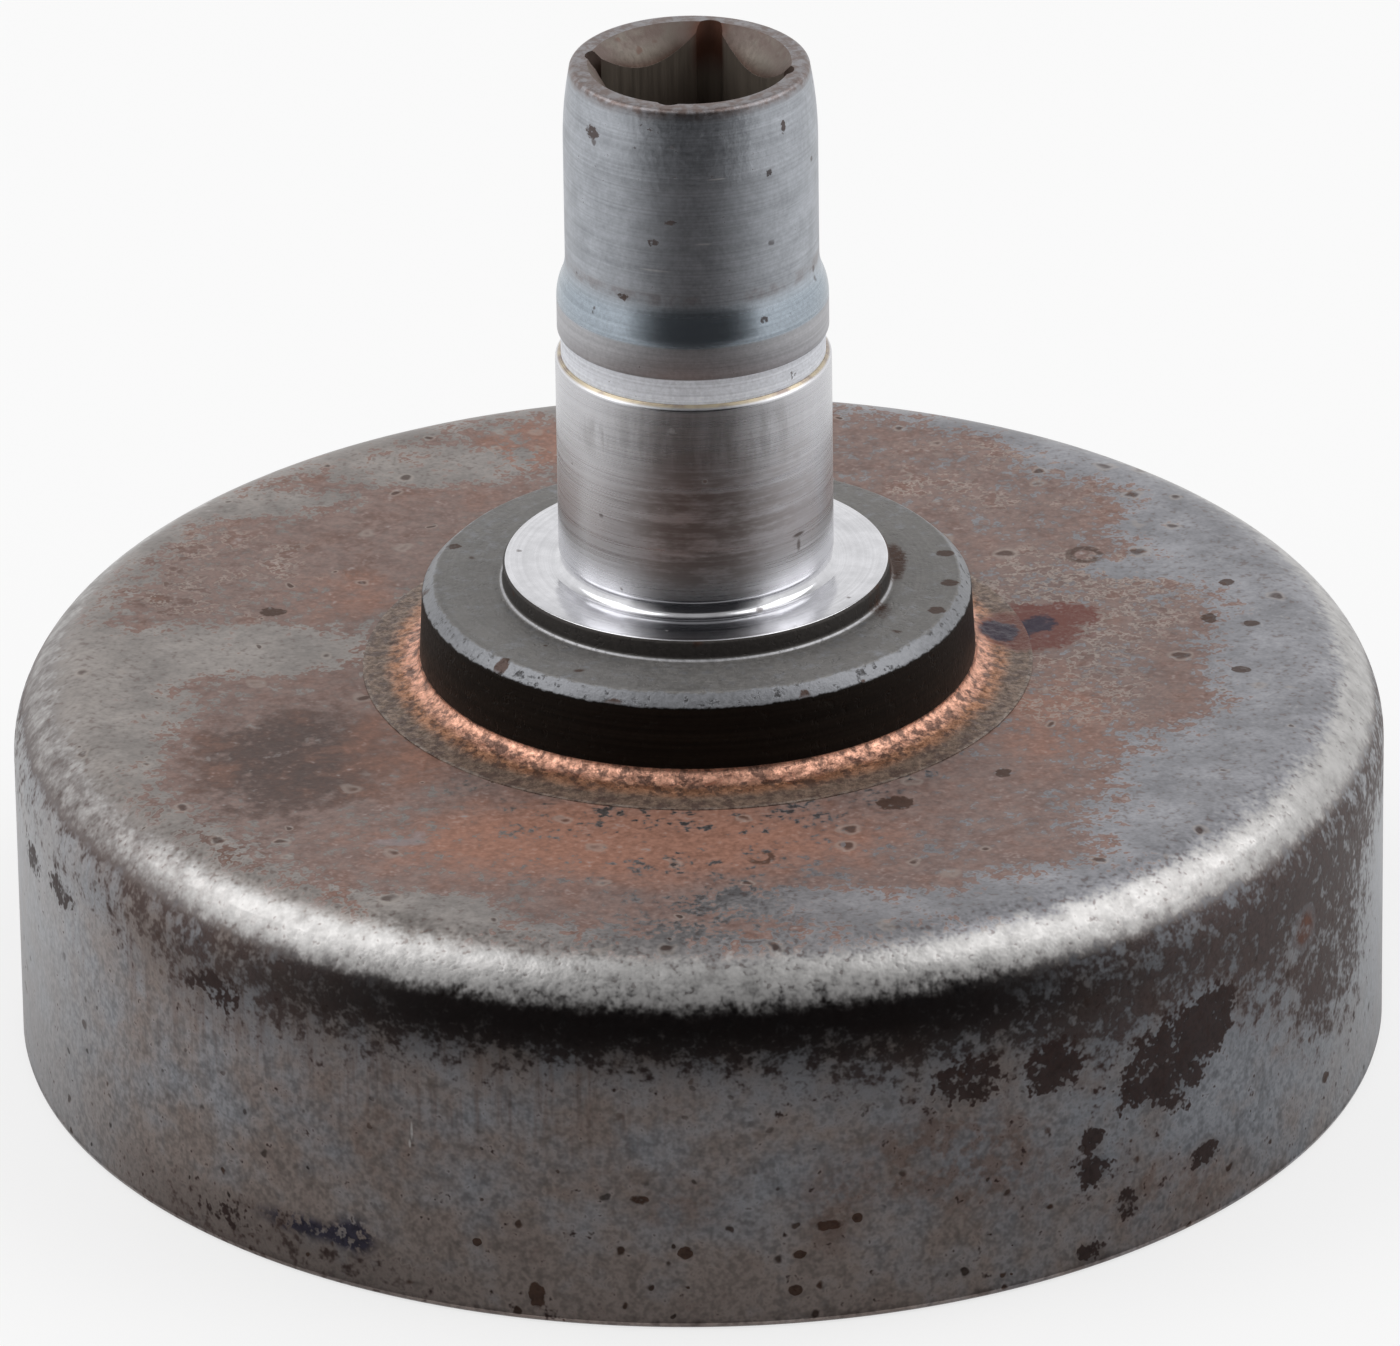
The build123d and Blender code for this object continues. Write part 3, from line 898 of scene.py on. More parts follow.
def make_cup_wall(tone):
    """Drawn steel wall with dark scale, blotches, streaks and rust dots."""
    material, g, shader, position = start_material("Drum cup wall")
    height = split_position(g, position)[1]
    turn = find_turn(g, position)
    unrolled = unroll(g, turn, height, WALL_RADIUS)
    coarse, patch, grain, relief = make_cup_clouds(g, position)
    before_back = g.rise(turn, -2.7, -1.8)
    left_warm = g.times(before_back, g.rise(turn, 0.9, 0.1, 0.0, 0.6))
    low_warm = g.plus(left_warm, g.rise(height, 7.0, 1.0, 0.0, 0.5))
    low_warm = g.plus(low_warm, g.rise(coarse, 0.25, 0.75, -0.5, 0.5), True)
    colour = g.mix(low_warm, tone.wall_cool, tone.wall_warm)
    streaks = g.noise(g.vector("MULTIPLY", unrolled, (2.6, 0.22, 1.0)), 1.0, 2.0, 0.6)
    streaky = g.times(g.rise(turn, 0.15, -0.25), g.rise(height, 6.5, 10.5))
    streaky = g.times(streaky, before_back)
    colour = g.cover(colour, streaky, g.rise(streaks, 0.45, 0.7, 0.0, 0.5), tone.haze)
    haze = add_zones(g, g.rise(coarse, 0.45, 0.75, 0.0, 0.5), unrolled, HAZE_ZONES)
    haze = g.times(haze, g.rise(patch, 0.4, 0.62, 0.1, 1.0), True)
    colour = g.cover(colour, haze, 0.8, tone.haze)
    colour = g.shade(colour, patch, 0.74, 1.24)
    aside = g.math("ABSOLUTE", turn)
    # Painted sheen: the wall made paler on its flanks, standing in for the brighter reflection there
    painted_side_sheen = g.times(g.rise(aside, 0.85, 1.3, 0.0, 0.6), g.rise(aside, 2.0, 1.5))
    colour = g.mix(painted_side_sheen, colour, tone.painted_side_sheen)

    scale_top = g.plus(g.rise(height, 9.4, 13.9, -0.3, 0.62), g.rise(height, 7.0, 1.0, 0.0, 0.16))
    scale_field = add_zones(g, scale_top, unrolled, SCALE_ZONES)
    scale = g.ragged(scale_field, patch, grain, 2.9, 1.8, 0.48)
    blotch_field = add_zones(g, -0.22, unrolled, BLOTCH_ZONES)
    blotch = g.ragged(blotch_field, patch, grain, 2.6, 1.8, 0.22)
    brown_scale = g.mix(g.rise(patch, 0.42, 0.62), tone.scale, tone.blotch)
    brown_scale = g.mix(g.rise(aside, 0.4, 0.9, 0.0, 0.55), brown_scale, tone.film_dark)
    colour = g.cover(colour, scale, 0.92, brown_scale)
    colour = g.cover(colour, blotch, 0.95, tone.blotch)
    rim = g.rise(g.plus(height, patch), 0.5, 1.15, 0.6, 0.0)
    colour = g.mix(rim, colour, tone.blotch)

    specks = g.specks(position, 0.9, 0.5, 0.24)
    dotted = g.times(specks["Mask"], g.rise(height, 11.0, 3.0, 0.5, 0.9))
    colour = g.mix(dotted, colour, g.mix(specks["Tone"], tone.rust, tone.scale))
    dots = g.ragged(add_zones(g, 0.0, unrolled, WALL_DOTS), patch, grain, 0.9, 0.9, 0.15)
    colour = g.cover(colour, dots, 0.9, tone.rust)
    scribble = add_zones(g, 0.0, unrolled, SCRIBBLE_ZONES)
    strokes = g.veins(patch, 0.47, 0.14)
    scribble = g.times(scribble, strokes, True)
    colour = g.cover(colour, scribble, 0.92, tone.ink)
    dent = g.ring(unrolled, (31.4, 11.1, 0), 0.95, 0.3, patch)
    dent_rust = add_zones(g, 0.0, unrolled, [((31.4, 11.1), (0.85, 0.75), 1.0)])
    dent_rust = g.times(dent_rust, g.rise(patch, 0.35, 0.6, 0.4, 1.0), True)
    colour = g.cover(colour, dent_rust, 0.8, tone.rust_bright)
    colour = g.cover(colour, dent, 0.2, tone.wall_cool)
    scratch = add_zones(g, 0.0, unrolled, WALL_SCRATCHES)
    colour = g.mix(g.times(scratch, 0.5, True), colour, tone.fleck)
    colour = g.shade(colour, grain, 0.76, 1.24)

    # Painted dark reflection: a near-black band under the corner, across the front only, fading downwards
    front = g.rise(aside, 0.85, 0.35)
    uneven = g.plus(g.times(patch, 2.0), g.times(grain, 1.4))
    painted_dark_reflection = g.times(front, g.rise(g.plus(height, uneven), 12.9, 16.2, 0.0, 0.94))
    colour = g.mix(painted_dark_reflection, colour, tone.painted_dark_reflection)
    edge_field = g.rise(height, 14.2, 15.9, -0.25, 1.2)
    on_corner = g.ragged(edge_field, patch, grain, 0.9, 0.5, 0.5)
    on_corner = g.math("POWER", on_corner, 1.5)
    rubbed, polish = make_rubbed_corner(g, height, turn, tone, patch, grain)
    colour = g.mix(on_corner, colour, rubbed)
    dull = g.most(scale, blotch)
    rough = g.blend(on_corner, g.blend(dull, 0.34, 0.5), polish)
    rough = g.plus(rough, g.rise(grain, 0.3, 0.7, -0.05, 0.07))
    metal = g.blend(g.most(dull, g.rise(height, 14.8, 13.8)), 0.88, 0.6)
    g.fill(shader, Base_Color=colour, Roughness=rough, Metallic=metal, Specular_IOR_Level=0.15)
    add_bump(g, shader, 0.03, relief)
    return material


def make_cup_inside(tone):
    """Rubbed friction track on the bore, lining dust and rust on the inner web."""
    material, g, shader, position = start_material("Drum cup inside")
    flat, height = split_position(g, position)
    radius = g.vector("LENGTH", flat)
    marks = g.marks(position, height, 5.0)
    fine_marks = g.marks(position, height, 16.0)
    patch = g.noise(position, 0.2, 6.0, 0.72)
    track = g.times(g.band(height, 1.6, 12.6, 0.7), g.rise(radius, 27.2, 27.8))
    dusty = g.mix(g.rise(patch, 0.3, 0.7), tone.soot, tone.film_brown)
    rubbed = g.shade(tone.bore, marks, 0.55, 1.15)
    colour = g.mix(track, dusty, rubbed)
    glaze = g.times(g.rise(marks, 0.55, 0.7), g.rise(patch, 0.4, 0.6))
    colour = g.cover(colour, glaze, 0.5, tone.soot)
    specks = g.specks(position, 1.4, 0.3, 0.3)["Mask"]
    colour = g.cover(colour, specks, 0.7, tone.rust)
    rough = g.blend(track, 0.62, g.rise(fine_marks, 0.3, 0.7, 0.24, 0.42))
    g.fill(shader, Base_Color=colour, Roughness=rough, Metallic=g.blend(track, 0.45, 0.95))
    add_bump(g, shader, 0.03, g.times(marks, track), (fine_marks, 0.2), (patch, 0.6))
    return material


def make_braze_copper(tone):
    """Run copper: bright and grainy next to the flange, gilt then olive towards its edge."""
    material, g, shader, position = start_material("Braze copper")
    flat, height = split_position(g, position)
    radius = g.vector("LENGTH", flat)
    wave = g.noise(position, 0.7, 4.0, 0.6)
    reach = g.plus(radius, g.times(g.minus(wave, 0.5), 0.6))
    grain = g.noise(position, 3.4, 4.0, 0.75)
    grit = g.node("ShaderNodeTexVoronoi", None, Vector=position, Scale=5.0).outputs["Color"]
    colour = g.mix(g.rise(reach, 12.65, 13.1), tone.copper, tone.gilt)
    colour = g.mix(g.rise(reach, 13.15, 13.85), colour, tone.olive)
    edge = g.band(radius, 14.5, 14.8, 0.07)
    colour = g.cover(colour, edge, g.rise(wave, 0.4, 0.6, 0.1, 0.5), tone.film_lace)
    colour = g.shade(colour, grain, 0.4, 1.35)
    dark = g.times(g.rise(g.noise(position, 1.8, 3.0, 0.7), 0.47, 0.62), 0.75)
    colour = g.mix(dark, colour, tone.film_dark)
    halo = g.ragged(add_zones(g, -0.3, flat, [((13.9, 2.4), (1.8, 2.4), 1.4)]), wave, grain, 1.6, 1.2, 0.3)
    colour = g.cover(colour, halo, 0.75, tone.heat_red)
    ink = g.ragged(add_zones(g, -0.3, flat, [((13.3, 2.2), (1.0, 1.3), 1.4)]), wave, grain, 1.6, 1.2, 0.25)
    colour = g.cover(colour, ink, 0.9, tone.ink)
    inside = g.rise(height, 15.2, 15.0)
    colour = g.cover(colour, inside, 0.5, tone.soot)
    rough = g.rise(grain, 0.3, 0.7, 0.5, 0.28)
    metal = g.rise(reach, 13.0, 13.8, 0.9, 0.35)
    g.fill(shader, Base_Color=colour, Roughness=rough, Metallic=metal, Specular_IOR_Level=0.2)
    near = g.rise(reach, 13.7, 13.0)
    lumps = g.times(g.node("ShaderNodeSeparateColor", None, Color=grit).outputs["Red"], near)
    add_bump(g, shader, 0.05, grain, (lumps, 0.5), (wave, 1.0))
    return material


def make_flange_steel(tone):
    """Blackened flange side, rubbed chamfer and matt face with rust spots."""
    material, g, shader, position = start_material("Hub flange")
    flat, height = split_position(g, position)
    radius = g.vector("LENGTH", flat)
    patch = g.noise(position, 0.7, 3.0, 0.65)
    grain = g.noise(position, 5.0, 2.0, 0.7)
    worn = g.plus(height, g.times(g.minus(g.noise(position, 1.6, 4.0, 0.7), 0.5), 0.3))
    side_marks = g.marks(position, height, 5.0)
    face_marks = g.marks(position, radius, 6.0)
    side = g.shade(tone.flange_side, side_marks, 0.7, 1.5)
    face = g.shade(tone.flange_face, patch, 0.92, 1.06)
    face = g.shade(face, face_marks, 0.92, 1.08)
    edge = g.band(worn, 20.56, 21.06, 0.04)
    # Collar side darkened partly as painted shade under the collar's edge and at its foot
    face = g.mix(g.rise(height, 21.14, 21.3), face, tone.collar_side_and_shade)
    colour = g.mix(g.rise(height, 20.9, 21.08), side, face)
    nicks = g.rise(g.noise(position, 2.2, 3.0, 0.7), 0.3, 0.46, 0.25, 1.0)
    colour = g.cover(colour, edge, nicks, tone.flange_edge)
    # Paler ring at the collar's foot: painted highlight on the fillet, with lower roughness
    foot = g.band(height, 21.13, 21.2, 0.02)
    colour = g.cover(colour, foot, 0.8, tone.land)
    below = g.rise(height, 17.0, 16.6)
    colour = g.mix(below, colour, g.shade(tone.land, patch, 0.7, 1.1))
    specks = g.specks(position, 1.7, 0.3, 0.26)["Mask"]
    colour = g.cover(colour, specks, 0.85, tone.rust)
    spots = add_zones(g, 0.0, flat, FLANGE_SPOTS)
    spots = g.ragged(spots, patch, grain, 1.2, 1.0, 0.15)
    colour = g.cover(colour, spots, g.rise(height, 20.5, 20.7, 0.0, 0.88), tone.rust)
    crust = add_zones(g, 0.0, flat, [((8.6, 1.2), (0.7, 2.6), 0.7), ((7.9, -3.6), (0.7, 1.3), 0.45)])
    crust = g.ragged(crust, patch, grain, 0.9, 0.6, 0.2)
    colour = g.cover(colour, crust, g.rise(height, 21.0, 21.08), tone.rust)
    colour = g.shade(colour, grain, 0.85, 1.15)
    rough = g.blend(g.most(foot, g.times(edge, nicks)), 0.5, 0.34)
    rough = g.plus(rough, g.rise(grain, 0.3, 0.7, -0.05, 0.07))
    g.fill(shader, Base_Color=colour, Roughness=rough, Metallic=0.5, Specular_IOR_Level=0.2)
    add_bump(g, shader, 0.02, patch, (grain, 0.8), (nicks, 1.3))
    return material


def make_ground_seat(tone):
    """Ground bearing seat: fine lines round it, grey smears near its top, brown bands low down that are
    partly painted dark reflection at the front.
    """
    material, g, shader, position = start_material("Hub ground seat")
    height = split_position(g, position)[1]
    unrolled = unroll(g, find_turn(g, position), height, SEAT_RADIUS)
    lines = g.marks(position, height, 14.0)
    bands = g.marks(position, height, 2.2)
    cloud = g.noise(g.vector("MULTIPLY", position, (1.6, 1.6, 0.3)), 1.0, 4.0, 0.7)
    colour = g.shade(tone.ground, lines, 0.88, 1.08)
    smeared = add_zones(g, 0.0, unrolled, [((0.6, 30.4), (4.6, 1.7), 0.8), ((-4.9, 29.8), (1.0, 0.9), 0.6)])
    smear = g.times(smeared, g.rise(cloud, 0.4, 0.62), True)
    colour = g.cover(colour, smear, 0.45, tone.grime)
    # Brown bands low on the seat, darkest across the front: partly real smudges, partly painted dark
    # reflection
    reflection_and_smudge_zone = add_zones(g, 0.0, unrolled, [((0.2, 26.0), (3.5, 3.7), 1.0), ((4.6, 27.5), (1.6, 2.6), 0.4)])
    uneven = g.noise(g.vector("MULTIPLY", position, (0.7, 0.7, 2.2)), 1.0, 3.0, 0.75)
    mottle = g.plus(g.times(bands, 0.5), g.times(uneven, 0.5))
    smudge_and_reflection = g.times(reflection_and_smudge_zone, g.rise(mottle, 0.4, 0.6), True)
    colour = g.cover(colour, smudge_and_reflection, 0.7, tone.smudge_and_reflection)
    marks = add_zones(g, 0.0, unrolled, [((5.0, 25.0), (0.36, 0.1), 1.1), ((5.0, 24.5), (0.12, 0.3), 0.9),
                                         ((0.42, 28.5), (0.12, 0.12), 1.1), ((-4.5, 26.2), (0.14, 0.1), 0.8)])
    specks = g.specks(position, 1.1, 0.16, 0.2)["Mask"]
    spots = g.most(g.times(specks, 0.6), marks, True)
    colour = g.cover(colour, spots, 0.85, tone.rust)
    crumbs = g.rise(g.noise(position, 1.2, 3.0), 0.35, 0.6)
    top_edge = g.rise(height, 31.9, 31.99, 0.0, 0.85)
    colour = g.mix(top_edge, colour, g.mix(crumbs, tone.olive, tone.gold))
    rough = g.plus(g.rise(lines, 0.3, 0.7, 0.24, 0.33), g.times(smudge_and_reflection, 0.1))
    metal = g.blend(g.most(spots, g.times(top_edge, 0.6)), 1.0, 0.2)
    g.fill(shader, Base_Color=colour, Roughness=rough, Metallic=metal)
    round_axis = g.node("ShaderNodeTangent", {"direction_type": "RADIAL", "axis": "Z"}).outputs["Tangent"]
    g.fill(shader, Anisotropic=0.5, Anisotropic_Rotation=0.25, Tangent=round_axis)
    add_bump(g, shader, 0.002, lines, (cloud, 2.0))
    return material


def make_collar_steel(tone):
    """Polished bearing shoulder and undercut with faint rings."""
    material, g, shader, position = start_material("Hub collar")
    flat, height = split_position(g, position)
    radius = g.vector("LENGTH", flat)
    along = g.plus(height, radius)
    rings = g.marks(position, along, 9.0)
    cloud = g.noise(position, 0.9, 4.0, 0.65)
    colour = g.shade(tone.ground, rings, 0.92, 1.08)
    colour = g.shade(colour, cloud, 0.88, 1.08)
    specks = g.specks(position, 1.3, 0.14, 0.18)["Mask"]
    colour = g.cover(colour, specks, 0.6, tone.rust)
    rough = g.rise(rings, 0.3, 0.7, 0.13, 0.2)
    g.fill(shader, Base_Color=colour, Roughness=rough, Metallic=g.blend(specks, 1.0, 0.3))
    add_bump(g, shader, 0.0015, rings, (cloud, 1.5))
    return material


def make_turned_steel(tone):
    """Groove, land, blued ogee, satin nose and rougher tip."""
    material, g, shader, position = start_material("Hub turned nose")
    height = split_position(g, position)[1]
    unrolled = unroll(g, find_turn(g, position), height, NOSE_RADIUS)
    lines = g.marks(position, height, 9.0)
    patch = g.noise(position, 0.9, 5.0, 0.65)
    grain = g.noise(position, 5.5, 2.0, 0.7)
    ogee = g.times(g.rise(height, 34.7, 34.82), g.rise(height, 35.8, 36.95, 1.0, 0.0))
    land = g.band(height, 33.3, 34.72, 0.05)
    groove = g.rise(height, 33.28, 33.2)
    tip = g.rise(height, 41.7, 42.3)
    colour = g.shade(tone.nose, patch, 0.86, 1.12)
    colour = g.mix(ogee, colour, tone.blued)
    colour = g.mix(land, colour, tone.land)
    # Groove floor: turned steel, lightened further as a painted highlight
    colour = g.mix(groove, colour, tone.groove)
    colour = g.shade(colour, lines, 0.86, 1.12)
    foot = g.times(g.band(height, 36.55, 37.1, 0.12), g.rise(patch, 0.42, 0.58))
    colour = g.cover(colour, foot, 0.4, tone.haze)
    specks = g.specks(position, 0.85, 0.3, 0.2)
    placed = g.ragged(add_zones(g, -0.3, unrolled, NOSE_SPOTS), patch, grain, 2.2, 2.6, 0.2)
    spots = g.most(g.times(specks["Mask"], g.rise(height, 34.6, 35.2, 0.15, 0.75)), placed)
    brown = g.mix(specks["Tone"], tone.rust, tone.blotch)
    colour = g.cover(colour, spots, 0.85, brown)
    scratch = add_zones(g, 0.0, unrolled, [((1.1, 42.5), (0.4, 0.04), 1.0), ((0.5, 39.5), (0.35, 0.04), 0.9),
                                           ((-1.6, 38.2), (0.7, 0.05), 0.6)])
    colour = g.mix(g.times(scratch, 0.7, True), colour, tone.fleck)
    mouth = g.rise(g.plus(height, g.times(patch, 0.5)), 45.25, 45.75)
    crumbs = g.rise(g.noise(position, 2.2, 3.0, 0.65), 0.36, 0.62)
    colour = g.cover(colour, mouth, g.blend(crumbs, 0.5, 0.88), tone.haze)
    colour = g.shade(colour, grain, 0.9, 1.1)
    rough = g.blend(ogee, 0.4, 0.25)
    rough = g.blend(land, rough, 0.4)
    rough = g.blend(groove, rough, 0.55)
    rough = g.blend(tip, rough, 0.4)
    uneven = g.times(g.rise(grain, 0.3, 0.7, -0.04, 0.05), g.rise(ogee, 0.0, 1.0, 1.0, 0.0))
    metal = g.blend(g.most(groove, spots), 0.95, 0.45)
    rough = g.plus(rough, uneven)
    g.fill(shader, Base_Color=colour, Roughness=rough, Metallic=metal, Specular_IOR_Level=0.2)
    chatter = g.noise(g.vector("MULTIPLY", position, (1.0, 1.0, 0.8)), 2.6, 2.0)
    smooth = g.times(lines, g.rise(ogee, 0.0, 1.0, 1.0, 0.0))
    add_bump(g, shader, 0.003, smooth, (g.times(chatter, tip), 7.0), (g.times(grain, tip), 1.4))
    return material


def make_socket_steel(tone):
    """Broached socket with a brighter lead-in and rust round its mouth, darkened downwards and at the cone's
    lower edge as painted shade.
    """
    material, g, shader, position = start_material("Hub socket")
    flat, height = split_position(g, position)
    scores = g.noise(g.vector("MULTIPLY", position, (3.0, 3.0, 0.12)), 1.5, 4.0, 0.7)
    patch = g.noise(position, 0.9, 5.0, 0.65)
    square = g.node("ShaderNodeMapping", None, Vector=position, Rotation=(0, 0, -STAIN_TURN))
    sides = g.vector("ABSOLUTE", square.outputs["Vector"])
    sides = g.node("ShaderNodeSeparateXYZ", None, Vector=sides).outputs
    across = g.most(sides["X"], sides["Y"])
    lead_in = g.times(g.rise(height, 43.9, 44.2), g.math("GREATER_THAN", across, 3.253))
    colour = g.shade(tone.socket, scores, 0.85, 1.15)
    # Darker towards the bottom of the socket: painted shade in the recess, in the rust tone
    colour = g.mix(g.rise(height, 44.2, 39.5, 0.0, 0.75), colour, tone.rust)
    # Cone darker towards the flats: painted shade for its rounded lower edge, in the rust tone
    cone = g.mix(g.rise(across, 3.15, 3.95), tone.rust, g.shade(tone.lead_in, patch, 0.8, 1.15))
    specks = g.specks(position, 0.8, 0.4, 0.3)["Mask"]
    cone = g.cover(cone, specks, 0.7, tone.rust_bright)
    colour = g.mix(lead_in, colour, cone)
    rusty = g.times(g.rise(height, 44.4, 45.4), g.rise(patch, 0.3, 0.6, 0.35, 1.0))
    far_corner = add_zones(g, 0.0, flat, [((0.87, 4.15), (0.9, 0.6), 1.0)])
    far_corner = g.times(far_corner, g.rise(height, 42.4, 44.2))
    colour = g.mix(g.most(rusty, far_corner), colour, g.mix(far_corner, tone.haze, tone.rust_bright))
    rough = g.rise(scores, 0.3, 0.7, 0.45, 0.62)
    g.fill(shader, Base_Color=colour, Roughness=rough, Metallic=g.blend(rusty, 0.65, 0.2))
    add_bump(g, shader, 0.015, scores, (patch, 0.6))
    return material


class DRUM_OT_cup(bpy.types.Operator):
    """Model the drawn cup and its film, scale and rust."""

    bl_idname = "drum.cup"
    bl_label = "Drum cup"

    def execute(self, context):
        sizes = context.scene.drum_cup_sizes
        outer = sizes.outer_diameter / 2
        bore = outer - sizes.sheet
        hole = sizes.hole_diameter / 2
        web = sizes.height - sizes.sheet
        inner_corner = sizes.corner_radius - sizes.sheet
        top = sizes.height
        corners = [(bore, 0), (outer, 0), (outer, top), (hole, top), (hole, web), (bore, web)]
        breaks = [
            ((bore, 0), sizes.rim_break, 3),
            ((outer, 0), sizes.rim_break, 3),
            ((outer, top), sizes.corner_radius, 18),
            ((bore, web), inner_corner, 8),
        ]
        cup = draw_outline("DrumCup", corners, breaks)
        turn_outline(cup, 360)
        smooth_faces(cup, 40)
        tone = context.scene.drum_finish
        half_wall = (bore + outer) / 2
        mid_corner = top - sizes.corner_radius * (1 - sin(radians(45)))

        def on_wall(radius, height, normal):
            return height < mid_corner

        def inside(radius, height, normal):
            return radius < half_wall - sizes.sheet * 0.4 and height < web + sizes.sheet / 2

        coat_faces(cup, make_cup_web(tone), everywhere)
        coat_faces(cup, make_cup_wall(tone), on_wall)
        coat_faces(cup, make_cup_inside(tone), inside)
        hand_over(cup, "drum_cup")
        return {"FINISHED"}


class DRUM_OT_hub(bpy.types.Operator):
    """Model the turned hub, broach its socket and finish its surfaces."""

    bl_idname = "drum.hub"
    bl_label = "Turned hub"

    def outline(self, sizes):
        """Corners of the hub's outline, with a pilot hole in the middle, and the edges to break."""
        pilot = sizes.socket_flats / 2 - PILOT_WALL
        spigot = sizes.spigot_diameter / 2
        flange = sizes.flange_diameter / 2
        side = sizes.flange_thickness - sizes.flange_chamfer
        foot = flange + side * tan(sizes.flange_draft)
        face = sizes.flange_seat + sizes.flange_thickness
        collar = sizes.collar_diameter / 2
        shoulder = face + sizes.collar_height
        seat = sizes.seat_diameter / 2
        floor = sizes.groove_diameter / 2
        land = sizes.land_diameter / 2
        nose = sizes.nose_diameter / 2
        tip = sizes.tip_diameter / 2
        groove = shoulder + sizes.seat_length
        land_foot = groove + sizes.groove_width
        ogee = land_foot + sizes.land_length
        ogee_end = ogee + sizes.ogee_length
        dome = ogee_end + sizes.nose_length
        top = dome + sizes.tip_length
        rounding = sizes.tip_rounding
        undercut_seat = seat - sizes.undercut_depth
        undercut_face = shoulder - sizes.undercut_fall
        corners = [
            (pilot, sizes.spigot_end),
            (spigot - sizes.spigot_chamfer, sizes.spigot_end),
            (spigot, sizes.spigot_end + sizes.spigot_chamfer),
            (spigot, sizes.flange_seat),
            (foot, sizes.flange_seat),
            (flange, sizes.flange_seat + side),
            (flange - sizes.flange_chamfer, face),
            (collar + sizes.collar_foot, face),
        ]
        corners += bend(corners[-1], (collar, face + sizes.collar_foot), (-1, 0), 5)
        corners += [
            (collar, shoulder - sizes.collar_chamfer),
            (collar - sizes.collar_chamfer, shoulder),
            (seat + sizes.undercut_width, shoulder),
            (undercut_seat + sizes.undercut_radius, undercut_face),
        ]
        corners += bend(corners[-1], (undercut_seat, undercut_face + sizes.undercut_radius), (-1, 0), 8)
        corners += [
            (seat, shoulder + sizes.undercut_length),
            (seat, groove - sizes.seat_chamfer),
            (seat - sizes.seat_chamfer, groove),
            (floor, groove),
            (floor, land_foot),
            (land, land_foot),
            (land, ogee),
        ]
        # The ogee is a crown, then the same curve turned half round about the middle
        crown = bend((land, ogee), ((land + nose) / 2, (ogee + ogee_end) / 2), (0, 1), 8)
        hollow = [(land + nose - x, ogee + ogee_end - z) for x, z in reversed([(land, ogee), *crown[:-1]])]
        corners += [*crown, *hollow, (nose, dome)]
        corners += bend(corners[-1], (tip, top - rounding), (0, 1), 12)
        for turn in quarter_turn(6)[1:]:
            corners.append((tip - rounding + rounding * cos(turn), top - rounding + rounding * sin(turn)))
        corners += [(pilot, top)]
        breaks = [
            ((flange, sizes.flange_seat + side), sizes.flange_softening, 3),
            ((flange - sizes.flange_chamfer, face), sizes.flange_softening, 3),
            ((collar, shoulder - sizes.collar_chamfer), sizes.collar_softening, 2),
            ((collar - sizes.collar_chamfer, shoulder), sizes.collar_softening, 2),
            ((seat, groove - sizes.seat_chamfer), sizes.seat_softening, 2),
            ((land, land_foot), sizes.land_softening, 2),
        ]
        return corners, breaks, top

    def execute(self, context):
        sizes = context.scene.drum_hub_sizes
        corners, breaks, top = self.outline(sizes)
        hub = draw_outline("HubShaft", corners, breaks)
        turn_outline(hub, 256)
        self.broach(hub, sizes, top)
        smooth_faces(hub, 32)
        tone = context.scene.drum_finish
        shoulder = sizes.flange_seat + sizes.flange_thickness + sizes.collar_height
        seat_foot = shoulder + sizes.undercut_length - HAIR
        groove = shoulder + sizes.seat_length
        seat = sizes.seat_diameter / 2
        collar = sizes.collar_diameter / 2 - COLLAR_MARGIN
        socket = sizes.socket_flats / sqrt(2) + 2 * HAIR

        def on_collar(radius, height, normal):
            return shoulder - COLLAR_MARGIN < height < groove and socket < radius < collar

        def on_seat(radius, height, normal):
            return seat_foot < height < groove + HAIR and radius > socket

        def on_nose(radius, height, normal):
            return height > groove + HAIR and radius < seat

        def in_socket(radius, height, normal):
            return radius < socket and abs(normal.z) < 0.9

        coat_faces(hub, make_flange_steel(tone), everywhere)
        coat_faces(hub, make_collar_steel(tone), on_collar)
        coat_faces(hub, make_ground_seat(tone), on_seat)
        coat_faces(hub, make_turned_steel(tone), on_nose)
        coat_faces(hub, make_socket_steel(tone), in_socket)
        hand_over(hub, "hub_shaft")
        return {"FINISHED"}

    def broach(self, hub, sizes, top):
        """Cut the square socket, its corner reliefs, the lead-in and the lower edge break."""
        low = sizes.spigot_end - BROACH_OVERRUN
        high = top + BROACH_OVERRUN
        middle = (low + high) / 2
        depth = high - low
        half = sizes.socket_flats / 2
        relief = sizes.socket_relief / 2
        offset = sizes.socket_flats / sqrt(2) - relief
        clear_selection()
        bpy.ops.mesh.primitive_cube_add(size=1, location=(0, 0, middle), scale=(2 * half, 2 * half, depth))
        cut_away(hub, bpy.context.active_object)
        for corner in range(4):
            turn = pi / 4 + corner * pi / 2
            place = (offset * cos(turn), offset * sin(turn), middle)
            clear_selection()
            bpy.ops.mesh.primitive_cylinder_add(vertices=40, radius=relief, depth=depth, location=place)
            cut_away(hub, bpy.context.active_object)
        mouth = sizes.lead_in_diameter / 2
        slope = (mouth - half) / sizes.lead_in_depth
        wide_mouth = mouth + slope * CONE_OVERRUN
        self.cut_cone(hub, half, wide_mouth, top - sizes.lead_in_depth, top + CONE_OVERRUN)
        wide_exit = half + sizes.exit_chamfer + CONE_OVERRUN
        low = sizes.spigot_end - CONE_OVERRUN
        self.cut_cone(hub, wide_exit, half, low, sizes.spigot_end + sizes.exit_chamfer)

    def cut_cone(self, hub, low_radius, high_radius, low, high):
        """Cut a cone out between two heights."""
        clear_selection()
        bpy.ops.mesh.primitive_cone_add(
            vertices=128, radius1=low_radius, radius2=high_radius, depth=high - low,
            location=(0, 0, (low + high) / 2),
        )
        cut_away(hub, bpy.context.active_object)


